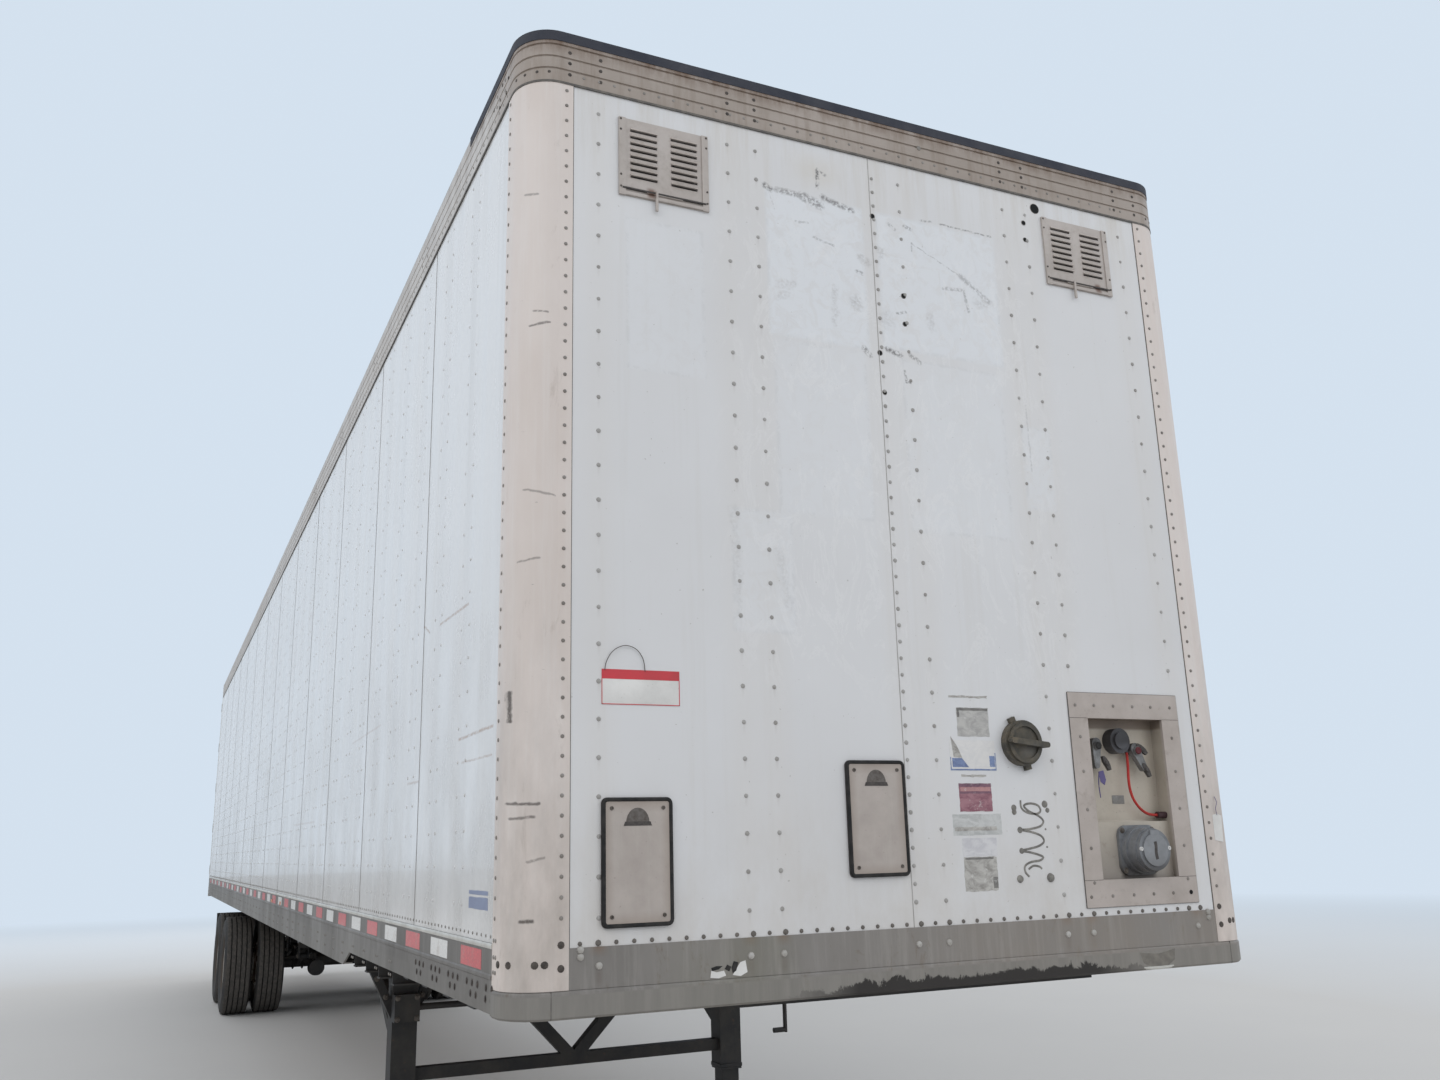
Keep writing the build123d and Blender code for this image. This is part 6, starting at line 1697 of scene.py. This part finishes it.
def make_running_gear():
    """U-bolts with their plates, pivot bolts, the slider's locating holes and its lock pins."""
    rods, plates, nuts = [], [], []
    for y in AXLE_Y:
        for side in (-1, 1):
            top = SEAT_Z + 0.043
            centre = side * SPRING_X
            plates.append(
                rounded(centre - 0.064, centre + 0.064, y - 0.092, y + 0.092, top, top + 0.014, 0.004)
            )
            for x in (centre - 0.05, centre + 0.05):
                arc = [(x, y - BOLT_REACH, top + 0.04), (x, y - BOLT_REACH, AXLE_Z + 0.03)]
                for k in range(9):
                    turn = math.pi * k / 8
                    arc.append((x, y - BOLT_REACH * math.cos(turn), AXLE_Z - BOLT_REACH * math.sin(turn)))
                arc += [(x, y + BOLT_REACH, AXLE_Z + 0.03), (x, y + BOLT_REACH, top + 0.04)]
                rods.append(tube(arc, 0.0095, 10))
                nuts += [at("up", x, y + dy, top + 0.014) for dy in (-BOLT_REACH, BOLT_REACH)]
    piece("u_bolts", joined(*rods), "frame_steel", "tandem")
    piece("u_bolt_plates", joined(*plates), "frame_steel", "tandem")
    piece("u_bolt_nuts", hex_bolt(0.0165, 0.02), "nut", "tandem", nuts)
    pivots = []
    for side in (-1, 1):
        for cheek in (-1, 1):
            x = side * SPRING_X + cheek * 0.052
            face = "road" if cheek > 0 else "curb"
            for dy, z, size in (
                (0.02 - HANGER_PITCH, 0.5925, 1), (0.02, 0.5925, 1), (0, 0.7055, 1.3),
                (-HANGER_PITCH, 0.72, 0.6), (HANGER_PITCH, 0.72, 0.6), (HANGER_PITCH, 0.62, 0.6),
            ):
                pivots.append(at(face, x, TANDEM_Y + dy, z, 0.2, size))
    piece("pivot_bolts", hex_bolt(0.02, 0.018), "nut", "tandem", pivots)
    # The row of locating holes in the body's rail, each a dark mouth in a pressed ring: a black disc of
    # painted shade
    outer = high("slider_rails").x
    holes, rings = [], []
    profile = [(0, -0.0005), (0.004, -0.0005), (0.003, 0.0022), (0, 0.0018)]
    for side in (-1, 1):
        for y in run(low("slider_rails").y + 0.16, high("slider_rails").y - 0.14, HOLE_PITCH):
            place = flank(side, outer, y, BEAM_BOTTOM - 0.075)
            holes.append(bent(stack([(0.0165, -0.001), (0.0165, 0.0006)], 14), place))
            rings.append(bent(swept(circle(0.0165, 14), profile, True), place))
    piece("locating_holes", joined(*holes), "black", "van")
    piece("locating_rings", joined(*rings), "frame_steel", "van")
    ahead, behind = low("slider_frame").y, high("slider_frame").y
    rows = (ahead + 0.3, ahead + 0.72, behind - 0.66, behind - 0.24)
    pins = [flank(side, SPRING_X + 0.045, y, BEAM_BOTTOM - 0.185) for side in (-1, 1) for y in rows]
    pin = joined(
        stack([(0.03, -0.001), (0.03, 0.006), (0.026, 0.01)], 18),
        stack([(0.0155, 0.008), (0.0155, 0.026), (0.0125, 0.031)], 14),
    )
    piece("lock_pins", pin, "nut", "tandem", pins)
    bolts, straps = [], []
    rear, front, top = high("mud_flaps").y - 0.014, low("mud_flaps").y + 0.014, high("mud_flaps").z
    for side in (-1, 1):
        x = side * (HALF - 0.33)
        for k in range(6):
            dx = (k - 2.5) * 0.11
            bolts += [at("rear", x + dx, rear, top - 0.062), at("front", x + dx, front, top - 0.062)]
        for y, out in ((rear, 1), (front, -1)):
            a, b = y - out * 0.002, y + out * 0.004
            straps.append(rounded(x - 0.3, x + 0.3, a, b, top - 0.08, top - 0.044, 0.0015, 1))
    piece("flap_bolts", hex_bolt(0.0075, 0.006), "nut", "tandem", bolts)
    piece("flap_straps", joined(*straps), "frame_steel", "tandem")


def make_leg_parts():
    """Bolts of the landing legs' gussets and gearboxes, and the bands round the legs."""
    bolts, bands = [], []
    leg_half = 0.0625
    front = LEG_Y - leg_half
    for side in (-1, 1):
        leg = side * LEG_X
        for way in (-1, 1):
            for dx, z in ((0.028, 0.935), (0.075, 1.025), (0.118, 1.112)):
                x = leg + way * (leg_half + dx)
                bolts += [at("front", x, LEG_Y - 0.025, z), at("rear", x, LEG_Y + 0.025, z)]
        box = front - 0.06
        bolts += [
            at("front", leg + dx, box, 0.885 + dz, 0.3)
            for dx in (-0.048, 0.048) for dz in (-0.05, 0.05)
        ]
        bolts += [at("front", leg + dx, front, z, 0.5) for dx in (-0.042, 0.042) for z in (1.135, 1.075)]
        half = leg_half + 0.004
        for z in (0.44, 1.02):
            bands.append(rounded(leg - half, leg + half, LEG_Y - half, LEG_Y + half, z, z + 0.022, 0.003, 1))
        bands.append(rounded(leg - 0.138, leg + 0.138, LEG_Y - 0.137, LEG_Y + 0.137, 0, 0.01, 0.003, 1))
    piece("leg_bolts", hex_bolt(0.01, 0.009), "nut", "van", bolts)
    piece("leg_bands", joined(*bands), "frame_steel", "van")


# Rear

BUMPER_X = (0.7, 1.15)
BUMPER_HALF = 0.11
BUMPER_BOLT_Z = 1.178
HINGE_ROWS = [1.492 + k * (3.79 - 1.492) / 4 for k in range(5)]
GUIDE_ROWS = [1.392 + k * (3.89 - 1.392) / 4 for k in range(5)]


def strip_frame(x0, x1, z0, z1, width, lap):
    """Four strips inside a rectangle; the upright ones reach into the others by lap."""
    inner = width - lap
    return [
        (x0, x1, z0, z0 + width), (x0, x1, z1 - width, z1),
        (x0, x0 + width, z0 + inner, z1 - inner), (x1 - width, x1, z0 + inner, z1 - inner),
    ]


def make_door_parts():
    """Rubber seals, strap bolts, guide bolts and handle grips, each riding on its own door."""
    for name, side in (("left", 1), ("right", -1)):
        leaf = "door_%s_leaf" % name
        body = "door_" + name
        x0, x1 = low(leaf).x, high(leaf).x
        z0, z1 = low(leaf).z, high(leaf).z
        face = high(leaf).y
        wide = 0.026
        seals = [
            rounded(a, b, face - 0.001, face + 0.005, c, d, 0.0022)
            for a, b, c, d in strip_frame(x0 + 0.002, x1 - 0.002, z0 + 0.002, z1 - 0.002, wide - 0.002, 0.001)
        ]
        lips = [
            rounded(a, b, face - 0.001, face + 0.0022, c, d, 0.001, 1)
            for a, b, c, d in strip_frame(x0 + wide, x1 - wide, z0 + wide, z1 - wide, 0.012, 0.012)
        ]
        piece("seal_" + body, joined(*seals), "gasket", body)
        piece("seal_channel_" + body, joined(*lips), "galvanised", body)
        pin = side * (HALF - 0.01)
        bolts, guides = [], []
        for z in HINGE_ROWS:
            for inward, rise in ((0.052, 0), (0.092, 0.013), (0.134, -0.013), (0.176, 0)):
                bolts.append(at("rear", pin - side * inward, face + 0.006, z + rise))
        for x in (pin - side * inward for inward in (0.35, 0.8)):
            guides += [at("rear", x + dx, face + 0.03, z) for z in GUIDE_ROWS for dx in (-0.0255, 0.0255)]
        piece("strap_bolts_" + body, dome(0.0085, 0.005, 10), "galvanised", body, bolts)
        piece("guide_bolts_" + body, hex_bolt(0.0048, 0.005), "galvanised", body, guides)
        # Rubber grip on the handle's free end, and the catch plate behind it
        x = pin - side * 0.445
        a, b = sorted((x, x + side * 0.064))
        y = face + 0.03
        handle_z = FLOOR_TOP + 0.504
        grip = rounded(a, b, y + 0.006, y + 0.0205, handle_z - 0.0185, handle_z + 0.0185, 0.005)
        piece("grip_" + body, grip, "gasket", body)
        plate = rounded(
            a - 0.03, b + 0.02, face - 0.001, face + 0.003, handle_z - 0.075, handle_z + 0.045, 0.0015,
        )
        piece("catch_plate_" + body, plate, "galvanised", body)


def make_rear_parts():
    """Tape on the sill, header and guard, rings round the lamps, and the frame's bolts."""
    # Rows: white or not, first and last place across, face, foot and head
    length, guard_length, guard_y = 0.28, 0.2875, high("rear_guard").y
    tapes = [(k % 2 == 0, (k - 3) * length, (k - 2) * length, REAR, 1.234, 1.284) for k in range(6)]
    for k in range(8):
        x = (k - 4) * guard_length
        tapes.append((k % 2 == 1, x + 0.002, x + guard_length, guard_y, 0.485, 0.535))
    for side in (-1, 1):
        tapes.append((True, side * 1.283, side * 0.983, REAR, 4.052, 4.102))
        tapes.append((True, side * 1.283, side * 1.25, REAR, 3.8, 4.05))
    for name, white in (("red", False), ("white", True)):
        strips = [
            rounded(a, b, y - 0.0002, y + 0.0006, c, d, 0.0003, 1)
            for w, a, b, y, c, d in tapes if w == white
        ]
        piece("rear_tape_" + name, joined(*strips), "tape_" + name)
    profile = [(0, -0.0005), (0.009, -0.0005), (0.0085, 0.004), (0.004, 0.0065), (0, 0.006)]
    lamps = [(s * x, 1.244) for s in (-1, 1) for x in (0.93, 1.06)] + [(x, 4.0525) for x in (-0.15, 0, 0.15)]
    places = [at("rear", x, REAR, z) for x, z in lamps]
    piece("lamp_rings", swept(circle(0.0242, 24), profile, True), "gasket", "van", places)
    # The bumpers' faces stand back by the height of their bolt heads
    bumper_low, bumper_high = low("dock_bumpers"), high("dock_bumpers")
    face = bumper_high.y - 0.0046
    blocks, bolts = [], []
    for side in (-1, 1):
        rows = run(1.36, 3.76, 0.2) + [1.16, 1.2, 1.25, 4.02, 4.07]
        bolts += [flank(side, high("rear_frame").x, REAR - 0.045, z) for z in rows]
        for x in (side * bumper for bumper in BUMPER_X):
            x0, x1 = x - BUMPER_HALF, x + BUMPER_HALF
            blocks.append(rounded(x0, x1, REAR - 0.004, face, bumper_low.z, bumper_high.z, 0.008, 3))
            bolts += [at("rear", x + dx, face, BUMPER_BOLT_Z, 0, 1.3) for dx in (-0.075, 0.075)]
    piece("rear_bolts", dome(0.0075, 0.0035), "galvanised", "van", bolts)
    bumpers = piece("moulded_bumpers", joined(*blocks), "gasket", "van")
    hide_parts("dock_bumpers")


def make_roof_parts():
    """Rivets along both roof edges, and the sealant along them and across the rear."""
    top, end = high("roof_sheet").z, high("roof_sheet").y
    rows = run(NOSE + 0.76, end - 0.05, 0.0762)
    places = [at("up", side * (HALF - 0.03), y, top) for side in (-1, 1) for y in rows]
    piece("roof_rivets", dome(0.0055, 0.0018, 6), "galvanised", "van", places)
    lines = [(side * (HALF - 0.048), side * (HALF - 0.056), NOSE + 0.7, end - 0.01) for side in (-1, 1)]
    lines.append((-HALF + 0.05, HALF - 0.05, end - 0.02, end - 0.008))
    seals = [rounded(*line, top - 0.0005, top + 0.0014, 0.0008, 1) for line in lines]
    piece("roof_sealant", joined(*seals), "sealant")


def make_inside():
    """Scuff strips along both walls, their screws and the threshold plate at the doors."""
    wall = HALF - 0.05
    y0, y1 = NOSE + 0.18, low("rear_frame").y - 0.005
    strips, screws = [], []
    for side in (-1, 1):
        a, b = side * (wall - 0.005), side * (wall + 0.0005)
        strips.append(rounded(a, b, y0, y1, FLOOR_TOP + 0.002, FLOOR_TOP + 0.305, 0.002))
        for y in run(y0 + 0.05, y1 - 0.03, BEAM_PITCH):
            screws += [at(SIDES[-side], a, y, FLOOR_TOP + z) for z in (0.03, 0.275)]
    piece("scuff_strips", joined(*strips), "galvanised", "van")
    sill = rounded(-wall + 0.008, wall - 0.008, y1 - 0.255, y1, FLOOR_TOP - 0.001, FLOOR_TOP + 0.003, 0.0015)
    piece("threshold", sill, "galvanised", "van")
    screws += [
        at("up", x, y1 - dy, FLOOR_TOP + 0.003)
        for x in run(-1.15, 1.15, 0.23) for dy in (0.04, 0.215)
    ]
    piece("inside_screws", screw(0.006, 0.002), "rivet", "van", screws)


def make_nose_trims():
    """Rounded rubber round the two covers, and the long bar and the flange across each vent."""
    rims = []
    for x, z in COVERS:
        half_x, half_z, radius = 0.097, 0.1635, 0.011
        line = []
        for cx, cz, first in ((1, 1, 0), (-1, 1, 90), (-1, -1, 180), (1, -1, 270)):
            for k in range(5):
                turn = math.radians(first + 22.5 * k)
                out = Vector((math.cos(turn), math.sin(turn), 0))
                centre = Vector((cx * (half_x - radius), cz * (half_z - radius), 0))
                line.append((centre + out * radius, out, UP))
        profile = [
            (-0.005, 0.004), (0.0055, 0.004), (0.006, 0.009), (0.003, 0.0125), (-0.002, 0.0125),
            (-0.005, 0.009),
        ]
        rims.append(bent(swept(line, profile, True), at("front", x, SHEET_Y, z)))
    piece("cover_rims", joined(*rims), "gasket", "van")
    bars, edges = [], []
    for x in (-VENT[0], VENT[0]):
        z = VENT[1] - 0.135 + 0.024
        face = SHEET_Y - 0.005
        bars.append(
            rounded(x - 0.142, x + 0.142, face - 0.0058, face + 0.001, z - 0.0028, z + 0.0028, 0.0012)
        )
        edges.append(rounded(x - 0.15, x + 0.15, face - 0.003, face + 0.001, z - 0.0225, z - 0.0105, 0.0012))
    piece("vent_bars", joined(*bars), "mark_dark", "van")
    piece("vent_flanges", joined(*edges), "vent_metal", "van")


for make in (
    make_nose_rivets, make_post_rivets, make_rail_rivets, make_band_bolts, make_seams, make_side_rivets,
    make_side_rail_parts, make_nose_sign, make_labels, make_glue, make_nose_holes, make_cover_parts,
    make_vent_screws, make_bent_lip, make_box_parts, make_post_tag, make_nose_trims, make_wheels,
    make_running_gear,
    make_leg_parts, make_door_parts, make_rear_parts, make_roof_parts, make_inside,
):
    make()


# Floor, backdrop and lamps

BACKDROP = (0.66, 0.755, 0.86)


def make_stage():
    """A plain pale floor that melts into the backdrop's colour far away."""
    size = 120
    mesh = bpy.data.meshes.new("floor")
    mesh.from_pydata(
        [(-size, -size, 0), (size, -size, 0), (size, size, 0), (-size, size, 0)], [], [(0, 1, 2, 3)],
    )
    ground = bpy.data.objects.new("floor", mesh)
    bpy.context.scene.collection.objects.link(ground)
    look = Look("floor_paint", 0.8, 0, 0.2)
    soft = look.noise(0.35, detail=3)
    look.colour(look.mix(soft, (0.53, 0.53, 0.53), (0.57, 0.57, 0.565)))
    away = look.steps(look.vector("LENGTH", look.place), 9, 30)
    away = look.maths("POWER", away, 0.7)
    path = look.node("ShaderNodeLightPath")
    glow = look.node("ShaderNodeEmission")
    look.put((*BACKDROP, 1), glow.inputs["Color"])
    blend = look.node("ShaderNodeMixShader")
    look.put(look.times(away, path.outputs["Is Camera Ray"]), blend.inputs[0])
    look.put(look.shader.outputs[0], blend.inputs[1])
    look.put(glow.outputs[0], blend.inputs[2])
    look.put(blend.outputs[0], look.tree.nodes["Material Output"].inputs["Surface"])
    mesh.materials.append(look.material)


def make_world():
    """A neutral dome for light; the camera, gloss and glass see the pale backdrop."""
    world = bpy.data.worlds.new("studio")
    bpy.context.scene.world = world
    world.use_nodes = True
    tree = world.node_tree
    dome_light, backdrop = tree.nodes["Background"], tree.nodes.new("ShaderNodeBackground")
    for node, colour, strength in ((dome_light, (0.955, 0.975, 1), 0.56), (backdrop, BACKDROP, 1)):
        node.inputs["Color"].default_value = (*colour, 1)
        node.inputs["Strength"].default_value = strength
    path = tree.nodes.new("ShaderNodeLightPath")
    seen = path.outputs["Is Camera Ray"]
    for ray in ("Is Glossy Ray", "Is Transmission Ray"):
        either = tree.nodes.new("ShaderNodeMath")
        either.operation = "MAXIMUM"
        tree.links.new(seen, either.inputs[0])
        tree.links.new(path.outputs[ray], either.inputs[1])
        seen = either.outputs[0]
    blend = tree.nodes.new("ShaderNodeMixShader")
    for index, socket in enumerate((seen, dome_light.outputs[0], backdrop.outputs[0])):
        tree.links.new(socket, blend.inputs[index])
    tree.links.new(blend.outputs[0], tree.nodes["World Output"].inputs["Surface"])


def make_lamps():
    """Five wide soft lamps round the trailer."""
    # Columns: name, energy, width, height, place, aim
    lamps = [
        ("key", 900, 18, 14, (-9, NOSE - 10, 13), (0, NOSE, 2)),
        ("fill", 620, 16, 11, (9, NOSE - 9, 9), (0.5, NOSE, 2)),
        ("side", 1500, 34, 14, (-16, 0, 12), (-1.3, 0, 2)),
        ("far_side", 1200, 34, 14, (16, 2, 12), (1.3, 2, 2)),
        ("back", 850, 18, 12, (0, REAR + 12, 9), (0, REAR, 2)),
    ]
    for name, energy, width, height, place, aim in lamps:
        data = bpy.data.lights.new(name, "AREA")
        data.shape = "RECTANGLE"
        data.size = width
        data.size_y = height
        data.energy = energy
        lamp = bpy.data.objects.new(name, data)
        # Gloss shows the pale backdrop, so the lamps add no second reflection over it
        lamp.visible_glossy = False
        bpy.context.scene.collection.objects.link(lamp)
        lamp.location = place
        lamp.rotation_euler = (Vector(aim) - Vector(place)).to_track_quat("-Z", "Y").to_euler()


make_stage()
make_world()
make_lamps()

bpy.context.scene.view_settings.view_transform = "Standard"
